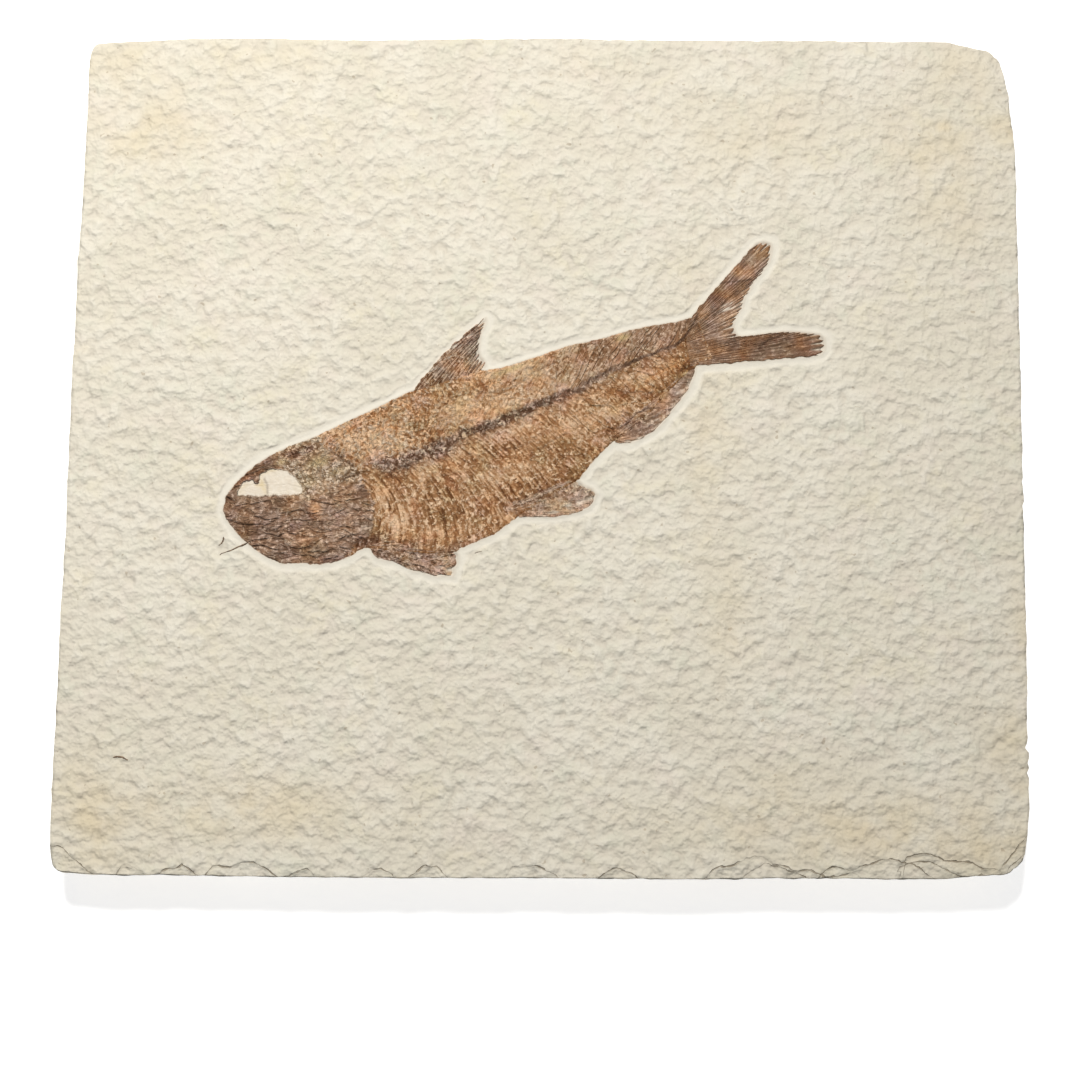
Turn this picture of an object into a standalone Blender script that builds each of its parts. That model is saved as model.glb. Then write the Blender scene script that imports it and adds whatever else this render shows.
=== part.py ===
"""A fossil herring lying in a thin, hand-trimmed plate of limestone.

The plate lies on its flat back, the fish on its upper face. Units are metres
in Blender; the dimensions below are millimetres. +X runs to the tail's side,
+Y to the back fin's side and +Z out of the fossil face. The origin is under
the middle of the plate, on the back.
"""
import math

import bmesh
import bpy
from mathutils import Matrix, Vector

MM = 0.001
CLOSE = 0.00001                 # welding distance, metres

# Plate
PLATE_THICKNESS = 12.0
PLATE_ARRIS = 0.5               # worn edge round both faces
HALO_DEPTH = 0.9                # matrix scraped away round the fish
GAP = 0.3                       # clearance between pieces that touch

# Fish, measured along its body from the snout
FISH_SNOUT = (-64.5, -11.5)     # where the snout lies on the plate
FISH_TURN = math.radians(19.0)  # the tail lies higher than the head
BODY_RIM = 0.42                 # thickness at the edge of the body
BODY_CROWN = 0.46               # extra thickness along the flank
HEAD_STEP = 0.12                # the gill cover stands over the flank
GILL_COVER_END = 26.5
BACKBONE_RIDGE = 0.10
BODY_COLUMNS = 72
BODY_ROWS = 10
FIN_RIM = 0.36
FIN_RAY_RELIEF = 0.08

FISH_UNDERSIDE = PLATE_THICKNESS - HALO_DEPTH + GAP

# The plate's trimmed outline, anticlockwise from its upper left corner
PLATE_OUTLINE = [
    (-94.2, 85.7), (-94.9, 66.0), (-95.6, 45.0), (-96.1, 16.0), (-96.3, -25.0),
    (-96.7, -56.0), (-97.0, -74.0), (-96.6, -82.8), (-94.7, -84.6), (-67.0, -85.0),
    (-28.0, -85.3), (10.6, -85.7), (46.0, -86.0), (69.0, -85.7), (86.0, -85.3),
    (91.5, -84.3), (93.9, -82.2), (94.6, -77.9), (95.2, -70.2), (95.3, -50.0),
    (95.8, -30.0), (96.2, -0.7), (96.6, 30.0), (97.0, 60.0), (96.7, 73.0),
    (95.9, 78.5), (94.4, 82.6), (91.3, 84.6), (85.8, 85.6), (65.0, 85.8),
    (11.0, 86.0), (-51.0, 86.0),
]

# Shallow shell-shaped chips along the plate's upper edge:
# middle x, middle y, half width, reach over the face, depth at the edge
EDGE_CHIPS = [
    (-92.0, -86.0, 7.5, 4.0, 3.5), (-79.5, -85.2, 5.0, 2.4, 3.0),
    (-71.0, -85.3, 5.5, 2.0, 4.0), (-55.0, -85.5, 9.0, 3.4, 4.5),
    (-33.0, -85.6, 4.5, 2.0, 2.5), (-22.5, -85.8, 5.0, 2.8, 3.5),
    (-2.5, -86.0, 6.0, 2.8, 4.0), (14.0, -86.2, 5.0, 2.2, 3.0),
    (34.0, -86.2, 4.0, 2.8, 3.0), (42.0, -86.4, 8.0, 5.0, 5.0),
    (59.5, -86.2, 8.5, 4.2, 4.5), (73.0, -86.2, 9.0, 4.4, 5.0),
    (84.0, -85.8, 6.0, 3.0, 4.0), (94.5, -83.5, 6.0, 7.0, 4.5),
    (96.5, 84.0, 6.0, 5.5, 3.0), (78.0, 87.0, 16.0, 4.6, 2.0),
]

# The fish's own frame: x from the snout along the body, y towards its back.
# Body stations: x, belly, back
BODY_STATIONS = [
    (-0.2, -3.0, 0.3), (0.6, -5.9, 0.9), (1.8, -8.5, 1.8), (4.0, -11.8, 3.6),
    (7.3, -15.2, 5.0), (11.0, -16.5, 6.0), (16.4, -18.4, 6.6), (21.3, -18.2, 6.9),
    (26.0, -18.5, 7.3), (30.7, -19.7, 8.0), (36.2, -22.0, 8.7), (41.7, -23.9, 9.4),
    (48.0, -23.5, 9.1), (55.2, -21.5, 9.0), (61.1, -20.3, 8.0), (69.0, -18.5, 7.9),
    (75.1, -14.8, 8.0), (81.5, -12.9, 7.3), (87.5, -10.4, 7.1), (94.0, -6.6, 6.4),
    (99.0, -4.4, 5.4), (102.8, -4.0, 5.6),
]
BACKBONE = [
    (-0.2, -1.3), (7.6, -1.6), (15.3, -2.3), (32.0, -3.5), (41.6, -2.8),
    (51.5, -1.7), (61.4, -1.8), (73.0, -0.9), (84.1, 0.4), (93.0, 1.1),
    (98.4, 1.6), (101.5, 3.2),
]
BACKBONE_START = 30.0

# Fins: each runs from its root, inside the body, to its outer edge; the two
# lists are crossed in the same direction
FINS = {
    "dorsal": (
        [(43.5, 7.4), (57.0, 7.2)],
        [(43.6, 10.0), (47.0, 12.0), (50.6, 13.8), (54.2, 16.2), (58.0, 17.6),
         (61.9, 18.8), (61.0, 16.6), (59.7, 14.4), (58.8, 11.6)], 20),
    "pectoral": (
        [(25.4, -16.8), (33.5, -19.0)],
        [(25.4, -19.4), (27.4, -21.6), (30.2, -23.2), (33.2, -26.1), (36.3, -28.0),
         (39.0, -28.8), (40.6, -26.6), (41.0, -24.2)], 16),
    "pelvic": (
        [(56.0, -19.8), (68.0, -17.2)],
        [(55.4, -21.8), (58.0, -22.2), (61.4, -23.9), (65.3, -24.9), (68.1, -24.7),
         (71.2, -22.9), (70.8, -21.2), (69.6, -19.4)], 14),
    "anal": (
        [(77.5, -12.2), (97.5, -3.6)],
        [(78.2, -13.9), (80.6, -15.0), (84.2, -14.6), (88.0, -13.3), (92.5, -10.5),
         (95.5, -7.9), (98.8, -5.2)], 20),
    "tail": (
        [(100.0, 4.4), (101.0, 0.6), (100.0, -3.4)],
        [(103.6, 6.6), (110.0, 10.3), (117.3, 14.6), (120.4, 15.6), (122.4, 14.6),
         (120.5, 11.2), (116.8, 8.9), (113.4, 5.7), (110.6, 2.8), (109.0, 0.2),
         (111.9, -1.9), (116.4, -2.7), (120.7, -4.0), (125.3, -6.3), (125.4, -9.0),
         (123.1, -10.4), (116.8, -8.2), (108.5, -6.1), (102.4, -4.4)], 44),
}

# The rim of the scraped halo, a little outside the fish
HALO_OUTLINE = [
    (-2.4, 0.9), (0.4, 4.0), (4.2, 6.4), (9.4, 7.8), (15.1, 8.4), (20.5, 8.7),
    (24.9, 9.4), (31.5, 10.0), (38.7, 11.2), (43.9, 12.3), (47.8, 14.2),
    (52.6, 17.0), (56.5, 19.1), (60.9, 20.8), (63.4, 20.6), (63.6, 18.4),
    (61.4, 12.4), (61.6, 10.2), (65.3, 9.4), (72.5, 9.5), (80.5, 9.2), (88.8, 8.9),
    (96.7, 7.8), (101.5, 7.2), (105.7, 9.7), (109.8, 12.0), (114.2, 14.8),
    (118.7, 17.4), (121.7, 17.8), (124.0, 15.6), (123.9, 12.2), (121.5, 9.2),
    (117.6, 6.4), (114.7, 3.8), (112.0, 1.2), (112.4, -0.3), (116.0, -1.1),
    (121.4, -2.4), (126.4, -4.8), (128.0, -6.4), (128.0, -10.2), (124.9, -12.7),
    (121.3, -11.8), (115.5, -10.0), (109.7, -8.6), (104.2, -6.6), (101.2, -5.9),
    (97.8, -8.4), (94.4, -11.8), (93.0, -12.8), (88.6, -15.3), (83.6, -16.8),
    (80.3, -17.0), (77.2, -16.4), (74.6, -18.2), (73.0, -19.6), (73.4, -22.4),
    (72.8, -25.0), (69.6, -27.0), (65.9, -27.2), (60.9, -26.0), (56.0, -24.4),
    (52.4, -25.3), (48.1, -26.4), (43.4, -27.2), (42.0, -28.6), (39.8, -31.0),
    (36.4, -31.0), (32.7, -29.0), (30.4, -26.3), (26.8, -23.0), (24.2, -20.8),
    (19.4, -20.5), (15.5, -20.4), (10.3, -19.0), (5.2, -17.4), (3.2, -15.1),
    (1.2, -11.9), (-0.9, -9.7), (-2.3, -6.2), (-3.4, -2.9),
]

# Loose bits of bone and scale beside the fish: outline, in the fish's frame
SPLINTERS = {
    "jaw_bone_splinter": [(0.4, -8.8), (0.3, -9.5), (-1.6, -9.7), (-3.4, -9.9), (-3.6, -9.4), (-1.7, -9.1)],
    "small_bone_splinter": [(-1.9, -5.5), (-1.6, -6.0), (-2.4, -7.2), (-3.6, -8.1), (-3.9, -7.7), (-2.9, -6.8)],
}
SPLINTER_THICKNESS = 0.45
SPLINTER_POCKET = 0.35          # clearance round a splinter

STONE = (0.80, 0.76, 0.66)
BONE = (0.23, 0.13, 0.075)
DARK_BONE = (0.12, 0.08, 0.05)


def new_collection(name):
    collection = bpy.data.collections.new(name)
    bpy.context.scene.collection.children.link(collection)
    return collection


def new_material(name, colour, roughness):
    material = bpy.data.materials.new(name)
    material.use_nodes = True
    shader = material.node_tree.nodes["Principled BSDF"]
    shader.inputs["Base Color"].default_value = (*colour, 1.0)
    shader.inputs["Roughness"].default_value = roughness
    shader.inputs["Metallic"].default_value = 0.0
    return material


def fish_to_plate():
    """The matrix from the fish's own frame to the plate's."""
    move = Matrix.Translation(Vector((*FISH_SNOUT, 0.0)) * MM)
    return move @ Matrix.Rotation(FISH_TURN, 4, "Z")


def new_object(name, mesh, collection, matrix=None):
    thing = bpy.data.objects.new(name, mesh)
    collection.objects.link(thing)
    if matrix is not None:
        thing.matrix_world = matrix
    return thing


def extruded_outline(name, points, bottom, top, collection, matrix=None):
    """A flat plate from a closed outline, between two heights."""
    curve = bpy.data.curves.new(name, "CURVE")
    curve.dimensions = "2D"
    curve.fill_mode = "BOTH"
    curve.extrude = 0.5 * (top - bottom) * MM
    spline = curve.splines.new("POLY")
    spline.points.add(len(points) - 1)
    for point, (x, y) in zip(spline.points, points):
        point.co = (x * MM, y * MM, 0.0, 1.0)
    spline.use_cyclic_u = True
    drawn = new_object(name + "_curve", curve, collection)
    lift = Matrix.Translation((0.0, 0.0, 0.5 * (top + bottom) * MM))
    drawn.matrix_world = (matrix @ lift) if matrix is not None else lift
    bpy.context.view_layer.update()
    mesh = bpy.data.meshes.new_from_object(drawn.evaluated_get(bpy.context.evaluated_depsgraph_get()))
    plate = new_object(name, mesh, collection, drawn.matrix_world.copy())
    mesh.name = name
    bpy.data.objects.remove(drawn)
    form = bmesh.new()
    form.from_mesh(mesh)
    bmesh.ops.remove_doubles(form, verts=form.verts, dist=CLOSE)
    flat = math.radians(1.0)
    bmesh.ops.dissolve_limit(form, angle_limit=flat, verts=form.verts, edges=form.edges)
    form.to_mesh(mesh)
    form.free()
    return plate


def along(points, share):
    """The point at a share, 0 to 1, of a list of points, in straight runs."""
    place = share * (len(points) - 1)
    index = min(int(place), len(points) - 2)
    return tuple(a + (b - a) * (place - index) for a, b in zip(points[index], points[index + 1]))


def at_station(stations, x):
    """The other values of a table of stations, at a distance x."""
    x = min(max(x, stations[0][0]), stations[-1][0])
    for low, high in zip(stations, stations[1:]):
        if x <= high[0]:
            share = (x - low[0]) / (high[0] - low[0])
            return [a + (b - a) * share for a, b in zip(low[1:], high[1:])]
    return list(stations[-1][1:])


def relief(name, columns, rows, place, underside, collection):
    """A low relief: a grid laid over place(u, v), closed down to a flat underside."""
    form = bmesh.new()
    bmesh.ops.create_grid(form, x_segments=columns, y_segments=rows, size=0.5)
    for vertex in form.verts:
        x, y, z = place(vertex.co.x + 0.5, vertex.co.y + 0.5)
        vertex.co = Vector((x, y, z)) * MM
    rim = [edge for edge in form.edges if edge.is_boundary]
    skirt = bmesh.ops.extrude_edge_only(form, edges=rim)["geom"]
    foot = [item for item in skirt if isinstance(item, bmesh.types.BMVert)]
    for vertex in foot:
        vertex.co.z = underside * MM
    foot_edges = [item for item in skirt if isinstance(item, bmesh.types.BMEdge) and item.is_boundary]
    bmesh.ops.edgeloop_fill(form, edges=foot_edges)
    bmesh.ops.recalc_face_normals(form, faces=form.faces)
    bmesh.ops.triangulate(form, faces=[face for face in form.faces if len(face.verts) > 4])
    mesh = bpy.data.meshes.new(name)
    form.to_mesh(mesh)
    form.free()
    return new_object(name, mesh, collection, fish_to_plate())


def modifier_boolean(target, cutter, operation):
    boolean = target.modifiers.new(cutter.name, "BOOLEAN")
    boolean.operation = operation
    boolean.solver = "EXACT"
    boolean.object = cutter
    cutter.hide_render = True
    cutter.display_type = "WIRE"


def body_point(u, v):
    """A point on the body's upper face: u from snout to tail, v from belly to back."""
    first, last = BODY_STATIONS[0][0], BODY_STATIONS[-1][0]
    x = first + (last - first) * u
    belly, back = at_station(BODY_STATIONS, x)
    spine = at_station(BACKBONE, x)[0]
    half = 0.5
    if v < half:
        y = belly + (spine - belly) * v / half
    else:
        y = spine + (back - spine) * (v - half) / half
    across = 1.0 - abs(2.0 * v - 1.0) ** 2.6
    front = min(1.0, (x - first) / 6.0)
    rear = min(1.0, (last - x) / 22.0)
    z = FISH_UNDERSIDE + BODY_RIM + BODY_CROWN * across * math.sqrt(max(front, 0.0)) * rear ** 0.5
    if x < GILL_COVER_END:
        z += HEAD_STEP * across * front
    if abs(v - half) < 0.02 and x > BACKBONE_START:
        z += BACKBONE_RIDGE
    return x, y, z


def fin_point(root, edge, rays):
    """The relief of one fin: u across its rays, v from root to outer edge."""
    def place(u, v):
        x0, y0 = along(root, u)
        x1, y1 = along(edge, u)
        ray = 0.5 + 0.5 * math.cos(math.pi * u * rays)
        z = FISH_UNDERSIDE + FIN_RIM + FIN_RAY_RELIEF * ray * min(1.0, 3.0 * (1.0 - v) + 0.4)
        return x0 + (x1 - x0) * v, y0 + (y1 - y0) * v, z
    return place


def make_fish(collection, cutters):
    fish = relief("fossil_fish", BODY_COLUMNS, BODY_ROWS, body_point, FISH_UNDERSIDE, collection)
    fish.data.materials.append(new_material("fossil_bone", BONE, 0.6))
    for name, (root, edge, rays) in FINS.items():
        place = fin_point(root, edge, rays)
        fin = relief(name + "_fin", rays, 3, place, FISH_UNDERSIDE + 0.02, cutters)
        modifier_boolean(fish, fin, "UNION")
    return fish


def make_splinters(collection, cutters, plate):
    """Two loose bits of bone, each in a shallow pocket of the plate."""
    colour = new_material("dark_bone", DARK_BONE, 0.6)
    bottom = PLATE_THICKNESS - HALO_DEPTH + GAP
    for name, outline in SPLINTERS.items():
        splinter = extruded_outline(name, outline, bottom, bottom + SPLINTER_THICKNESS,
                                    collection, fish_to_plate())
        splinter.data.materials.append(colour)
        middle = Vector((sum(x for x, y in outline), sum(y for x, y in outline))) / len(outline)
        pocket_outline = []
        for x, y in outline:
            outward = (Vector((x, y)) - middle)
            length = outward.length
            grown = middle + outward * (length + 3.0 * SPLINTER_POCKET) / length
            pocket_outline.append(tuple(grown))
        pocket = extruded_outline(name + "_pocket", pocket_outline, PLATE_THICKNESS - HALO_DEPTH,
                                  PLATE_THICKNESS + 2.0, cutters, fish_to_plate())
        modifier_boolean(plate, pocket, "DIFFERENCE")


def make_plate(collection, cutters):
    plate = extruded_outline("limestone_slab", PLATE_OUTLINE, 0.0, PLATE_THICKNESS, collection)
    plate.data.materials.append(new_material("limestone", STONE, 0.9))
    arris = plate.modifiers.new("arris", "BEVEL")
    arris.width = PLATE_ARRIS * MM
    arris.segments = 2
    arris.limit_method = "ANGLE"
    arris.angle_limit = math.radians(50.0)
    halo = extruded_outline("halo_cutter", HALO_OUTLINE, PLATE_THICKNESS - HALO_DEPTH,
                            PLATE_THICKNESS + 2.0, cutters, fish_to_plate())
    modifier_boolean(plate, halo, "DIFFERENCE")
    for number, (x, y, half_width, reach, depth) in enumerate(EDGE_CHIPS):
        form = bmesh.new()
        bmesh.ops.create_uvsphere(form, u_segments=20, v_segments=12, radius=1.0)
        size = Matrix.Diagonal((half_width * MM, reach * MM, depth * MM, 1.0))
        bmesh.ops.transform(form, matrix=size, verts=form.verts)
        mesh = bpy.data.meshes.new("chip")
        form.to_mesh(mesh)
        form.free()
        place = Matrix.Translation(Vector((x, y, PLATE_THICKNESS + 0.3)) * MM)
        chip = new_object("chip_cutter_%02d" % number, mesh, cutters, place)
        modifier_boolean(plate, chip, "DIFFERENCE")
    return plate


for thing in list(bpy.data.objects):
    bpy.data.objects.remove(thing)
pieces = new_collection("fossil_fish_slab")
cutting = new_collection("cutters")
limestone_slab = make_plate(pieces, cutting)
fossil_fish = make_fish(pieces, cutting)
make_splinters(pieces, cutting, limestone_slab)
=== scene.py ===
import math
import random

import bmesh
import bpy
import numpy as np
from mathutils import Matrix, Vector, noise


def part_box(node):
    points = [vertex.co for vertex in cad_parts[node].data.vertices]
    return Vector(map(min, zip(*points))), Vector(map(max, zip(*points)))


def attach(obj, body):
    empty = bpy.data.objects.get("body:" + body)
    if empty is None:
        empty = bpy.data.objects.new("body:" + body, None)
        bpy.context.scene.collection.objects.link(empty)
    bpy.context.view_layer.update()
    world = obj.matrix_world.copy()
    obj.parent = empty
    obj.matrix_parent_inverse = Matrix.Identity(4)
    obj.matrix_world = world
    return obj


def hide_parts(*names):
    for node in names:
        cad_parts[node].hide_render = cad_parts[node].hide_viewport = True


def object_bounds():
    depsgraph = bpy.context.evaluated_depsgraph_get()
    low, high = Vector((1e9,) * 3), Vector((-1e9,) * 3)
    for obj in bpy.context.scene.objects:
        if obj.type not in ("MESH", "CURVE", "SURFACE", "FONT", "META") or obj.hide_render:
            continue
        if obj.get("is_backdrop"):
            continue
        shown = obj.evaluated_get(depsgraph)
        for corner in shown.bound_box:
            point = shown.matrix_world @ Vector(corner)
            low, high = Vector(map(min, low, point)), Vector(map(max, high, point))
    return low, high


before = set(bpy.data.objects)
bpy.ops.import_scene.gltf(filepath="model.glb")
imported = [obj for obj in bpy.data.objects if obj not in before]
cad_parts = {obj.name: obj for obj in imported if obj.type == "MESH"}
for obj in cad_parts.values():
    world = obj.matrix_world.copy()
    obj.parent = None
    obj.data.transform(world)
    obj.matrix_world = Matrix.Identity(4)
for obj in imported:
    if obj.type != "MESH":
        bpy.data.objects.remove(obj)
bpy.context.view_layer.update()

random.seed(27)

# The limestone plate. One slab split from a bed of fine cream limestone and trimmed by
# hand: a stippled face, shallow scraped halo round the fish, flaked arrises, and side
# walls that show the rock's thin beds. It is a fine grid laid over the trimmed outline.
MM = 0.001
plate_low, plate_high = (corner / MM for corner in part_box("limestone_slab"))
HALF_WIDTH, HALF_HEIGHT = 97.0, 86.0
FACE_LEVEL = plate_high.z
# The trimmed outline in millimetres: its two sides as (y, x), its foot and top as (x, y)
PLATE_LEFT = [
    (-86.0, -96.4), (-83.0, -96.8), (-78.0, -97.1), (-70.0, -97.1), (-58.0, -96.8), (-35.0, -96.6),
    (-18.0, -96.2), (14.0, -96.1), (22.0, -95.8), (39.0, -95.7), (47.0, -95.3), (64.0, -95.0),
    (73.0, -94.8), (82.0, -94.8), (84.0, -94.5), (86.0, -93.9)
]
PLATE_RIGHT = [
    (-86.0, 92.6), (-84.0, 93.1), (-82.0, 93.9), (-78.0, 94.4), (-74.0, 94.9), (-64.0, 95.2),
    (-55.0, 95.1), (-35.0, 95.7), (-19.0, 95.9), (-3.0, 96.1), (22.0, 96.5), (50.0, 96.8),
    (60.0, 97.0), (68.0, 96.7), (77.0, 96.1), (81.5, 95.3), (86.0, 94.2)
]
PLATE_FOOT = [
    (-97.0, -84.0), (-91.0, -84.5), (-81.0, -84.8), (-75.0, -84.7), (-63.0, -85.0), (-48.0, -85.1),
    (-28.0, -85.3), (-12.0, -85.3), (30.0, -85.5), (59.0, -85.4), (71.0, -85.6), (83.0, -85.5),
    (88.0, -84.9), (97.0, -84.6)
]
PLATE_TOP = [
    (-97.0, 85.0), (-92.6, 85.5), (-84.0, 85.8), (-76.0, 86.2), (-60.0, 86.3), (-50.0, 86.0),
    (-38.0, 85.9), (-12.0, 86.2), (7.0, 86.2), (16.0, 85.9), (50.0, 85.8), (86.5, 85.7),
    (88.3, 85.1), (92.5, 84.2), (97.0, 83.2)
]
# How far in from each corner (side, end) its rounding starts, and how far past the
# corner's square the grid is still drawn in
CORNER_CUTS = {(-1, 1): 0.9, (-1, -1): 1.6, (1, -1): 3.4, (1, 1): 2.6}
CORNER_REACH = 1.2
# The face's grid: its columns and plain rows, the finer rows of the flaked strip along
# the lower edge, and the two bands round the fish where it is halved again
FACE_COLUMNS, PLAIN_ROWS = 244, 164
FINE_ROWS, FINE_DEPTH = 22, 7.0
FINER_REACHES, FINER_INSIDE = (3.6, 2.4), 1.2

# Where the fish lies on the plate, and its outlines in its own frame: x from the snout
# along the body, y towards its back
SNOUT = np.array((-64.5, -11.5))
TURN = math.radians(19.0)
BACK_LINE = [
    (-0.6, -1.3), (-0.2, -0.5), (0.4, 0.1), (0.7, 1.2), (2.2, 2.2), (4.0, 3.4), (6.6, 4.6),
    (8.6, 5.4), (11.4, 6.1), (15.8, 6.7), (22.0, 6.9), (28.8, 7.8), (33.6, 8.3), (38.1, 8.9),
    (42.3, 9.5), (49.0, 9.1), (56.6, 9.0), (61.2, 8.1), (70.4, 7.9), (75.9, 8.0), (81.5, 7.3),
    (88.3, 7.0), (93.6, 6.4), (98.2, 5.5), (102.8, 5.4)
]
BELLY_LINE = [
    (-0.6, -1.9), (-0.5, -3.1), (0.0, -4.8), (0.5, -6.2), (1.4, -8.2), (3.2, -11.0), (4.7, -13.0),
    (7.3, -15.3), (11.1, -16.5), (13.5, -17.6), (16.4, -18.4), (20.6, -18.4), (22.6, -17.8),
    (24.4, -17.8), (26.0, -18.6), (28.1, -19.7), (31.6, -21.3), (35.2, -22.8), (38.9, -24.0),
    (41.1, -24.5), (41.8, -24.0), (45.3, -23.8), (49.5, -23.5), (52.2, -22.6), (55.2, -21.6),
    (61.1, -20.3), (69.0, -18.5), (71.7, -16.7), (75.1, -14.8), (77.9, -13.6), (84.2, -12.0),
    (90.1, -8.7), (95.0, -6.0), (100.2, -3.9), (102.8, -4.0)
]
BODY_OUTLINE = BACK_LINE + BELLY_LINE[::-1]
# Each fin: the ends of its root, its outer edge from first ray to last, how far the
# first and last rays bow, and how many rays it has
FINS = {
    "dorsal_fin": (
        [(42.4, 8.9), (57.0, 8.4)],
        [(61.9, 19.0), (61.9, 18.3), (60.9, 17.0), (60.0, 16.2), (59.3, 14.7), (58.5, 13.1),
         (58.4, 11.9), (58.9, 10.4), (58.7, 9.6)],
        (1.0, 0.0), 15),
    "pectoral_fin": (
        [(24.6, -17.4), (25.0, -18.9)],
        [(29.9, -18.0), (32.0, -20.0), (34.6, -21.8), (37.8, -23.5), (41.0, -24.5), (41.3, -25.2),
         (41.0, -26.0), (40.1, -27.2), (39.6, -27.5), (39.4, -28.4), (38.8, -28.9), (37.2, -28.2),
         (35.7, -27.9), (34.8, -27.3), (33.9, -26.7), (33.1, -25.9), (31.5, -25.4), (31.0, -24.4),
         (30.0, -23.2), (29.1, -22.4), (27.0, -21.5), (25.7, -20.6)],
        (0.0, 0.0), 12),
    "pelvic_fin": (
        [(52.8, -19.0), (55.0, -21.8)],
        [(60.4, -18.4), (65.1, -18.0), (67.4, -18.1), (68.9, -18.9), (69.4, -20.0), (70.9, -21.2),
         (71.3, -22.6), (70.5, -23.7), (69.1, -24.6), (66.4, -24.9), (62.0, -24.3), (57.7, -22.6)],
        (0.0, 0.0), 12),
    "anal_fin": (
        [(77.4, -11.8), (78.4, -13.8)],
        [(84.6, -9.6), (89.0, -9.4), (92.3, -7.0), (95.6, -5.2), (99.4, -4.0), (98.1, -6.1),
         (96.7, -7.7), (94.6, -9.5), (92.8, -10.6), (90.9, -11.8), (88.5, -13.4), (86.7, -14.2),
         (84.2, -14.8), (82.0, -15.0), (80.4, -14.8)],
        (0.0, 0.0), 12),
    "tail_fin": (
        [(100.4, 4.8), (98.6, 0.8), (97.6, -3.9)],
        [(119.3, 15.8), (120.9, 15.7), (122.2, 14.8), (122.1, 13.7), (121.1, 11.9), (120.2, 10.9),
         (118.7, 9.8), (117.0, 8.9), (115.8, 8.1), (115.0, 7.0), (113.6, 6.2), (112.8, 5.2),
         (112.1, 4.0), (110.9, 3.1), (109.9, 2.2), (109.1, 1.2), (109.0, -0.4), (109.4, -1.4),
         (110.7, -1.8), (113.8, -2.5), (116.1, -2.9), (118.9, -3.6), (121.6, -4.6), (123.6, -5.6),
         (125.0, -6.3), (125.7, -7.4), (125.4, -8.6), (125.0, -9.7), (124.0, -10.4),
         (122.4, -10.2)],
        (0.15, 0.0), 40),
}


def in_fish(x, y):
    """From the plate's frame to the fish's, both in millimetres."""
    x, y = x - SNOUT[0], y - SNOUT[1]
    return x * math.cos(TURN) + y * math.sin(TURN), y * math.cos(TURN) - x * math.sin(TURN)


def read_line(line, place):
    """The second number of a line of points, wherever its first number is the place."""
    return np.interp(place, *zip(*line))


def line_distance(x, y, line):
    """How far each point lies from a line of points."""
    nearest = np.full(np.shape(x), 1e6)
    for (ax, ay), (bx, by) in zip(line, line[1:]):
        dx, dy = bx - ax, by - ay
        along = np.clip(((x - ax) * dx + (y - ay) * dy) / (dx * dx + dy * dy), 0.0, 1.0)
        nearest = np.minimum(nearest, np.hypot(x - ax - along * dx, y - ay - along * dy))
    return nearest


def within(x, y, outline):
    """Which points lie inside a closed outline."""
    odd = np.zeros(np.shape(x), bool)
    for (ax, ay), (bx, by) in zip(outline, outline[1:] + outline[:1]):
        crosses = (ay > y) != (by > y)
        odd ^= crosses & (x < ax + (y - ay) * (bx - ax) / (by - ay if by != ay else 1e-9))
    return odd


def outside(x, y, outline):
    """How far each point lies outside a closed outline, negative inside it."""
    distance = line_distance(x, y, outline + outline[:1])
    return np.where(within(x, y, outline), -distance, distance)


def fish_gap(x, y):
    """How far a point of the plate lies outside the fish's outline, negative inside it."""
    outlines = [BODY_OUTLINE]
    outlines += [root[:1] + edge + root[:0:-1] for root, edge, bows, rays in FINS.values()]
    return np.min([outside(*in_fish(x, y), outline) for outline in outlines], axis=0)


def step(low, high, value):
    """A smooth step from 0 to 1 between two values."""
    share = np.clip((value - low) / (high - low), 0.0, 1.0)
    return share * share * (3.0 - 2.0 * share)


def fade(low, high, value):
    """A smooth step from 1 down to 0 between two values."""
    return 1.0 - step(low, high, value)


def clamp(values, most=1.0):
    """Values held between 0 and a limit."""
    return np.clip(values, 0.0, most)


def rough(x, y, size, seed, octaves=2):
    """Smooth noise about 0, with bumps of a size in the same units as x and y."""
    drawn = [noise.fractal(Vector((a / size, b / size, seed)), 1.0, 2.0, octaves)
             for a, b in zip(x.ravel(), y.ravel())]
    return np.array(drawn).reshape(x.shape)


def added(name, data):
    """Adds an object to the scene."""
    thing = bpy.data.objects.new(name, data)
    bpy.context.collection.objects.link(thing)
    return thing


def finished(name, form, material, stands_for):
    """Turns a bmesh, in millimetres, into a piece that rides with the plate."""
    mesh = bpy.data.meshes.new(name)
    bmesh.ops.scale(form, vec=(MM, MM, MM), verts=form.verts)
    form.to_mesh(mesh)
    form.free()
    mesh.materials.append(material)
    mesh.shade_smooth()
    piece = added(name, mesh)
    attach(piece, "root")
    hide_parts(stands_for)
    return piece


def paint(piece, name, values):
    """Gives a piece one number a vertex, for its material to read."""
    layer = piece.data.attributes.new(name, "FLOAT", "POINT")
    layer.data.foreach_set("value", np.asarray(values, dtype=np.float32))


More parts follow.
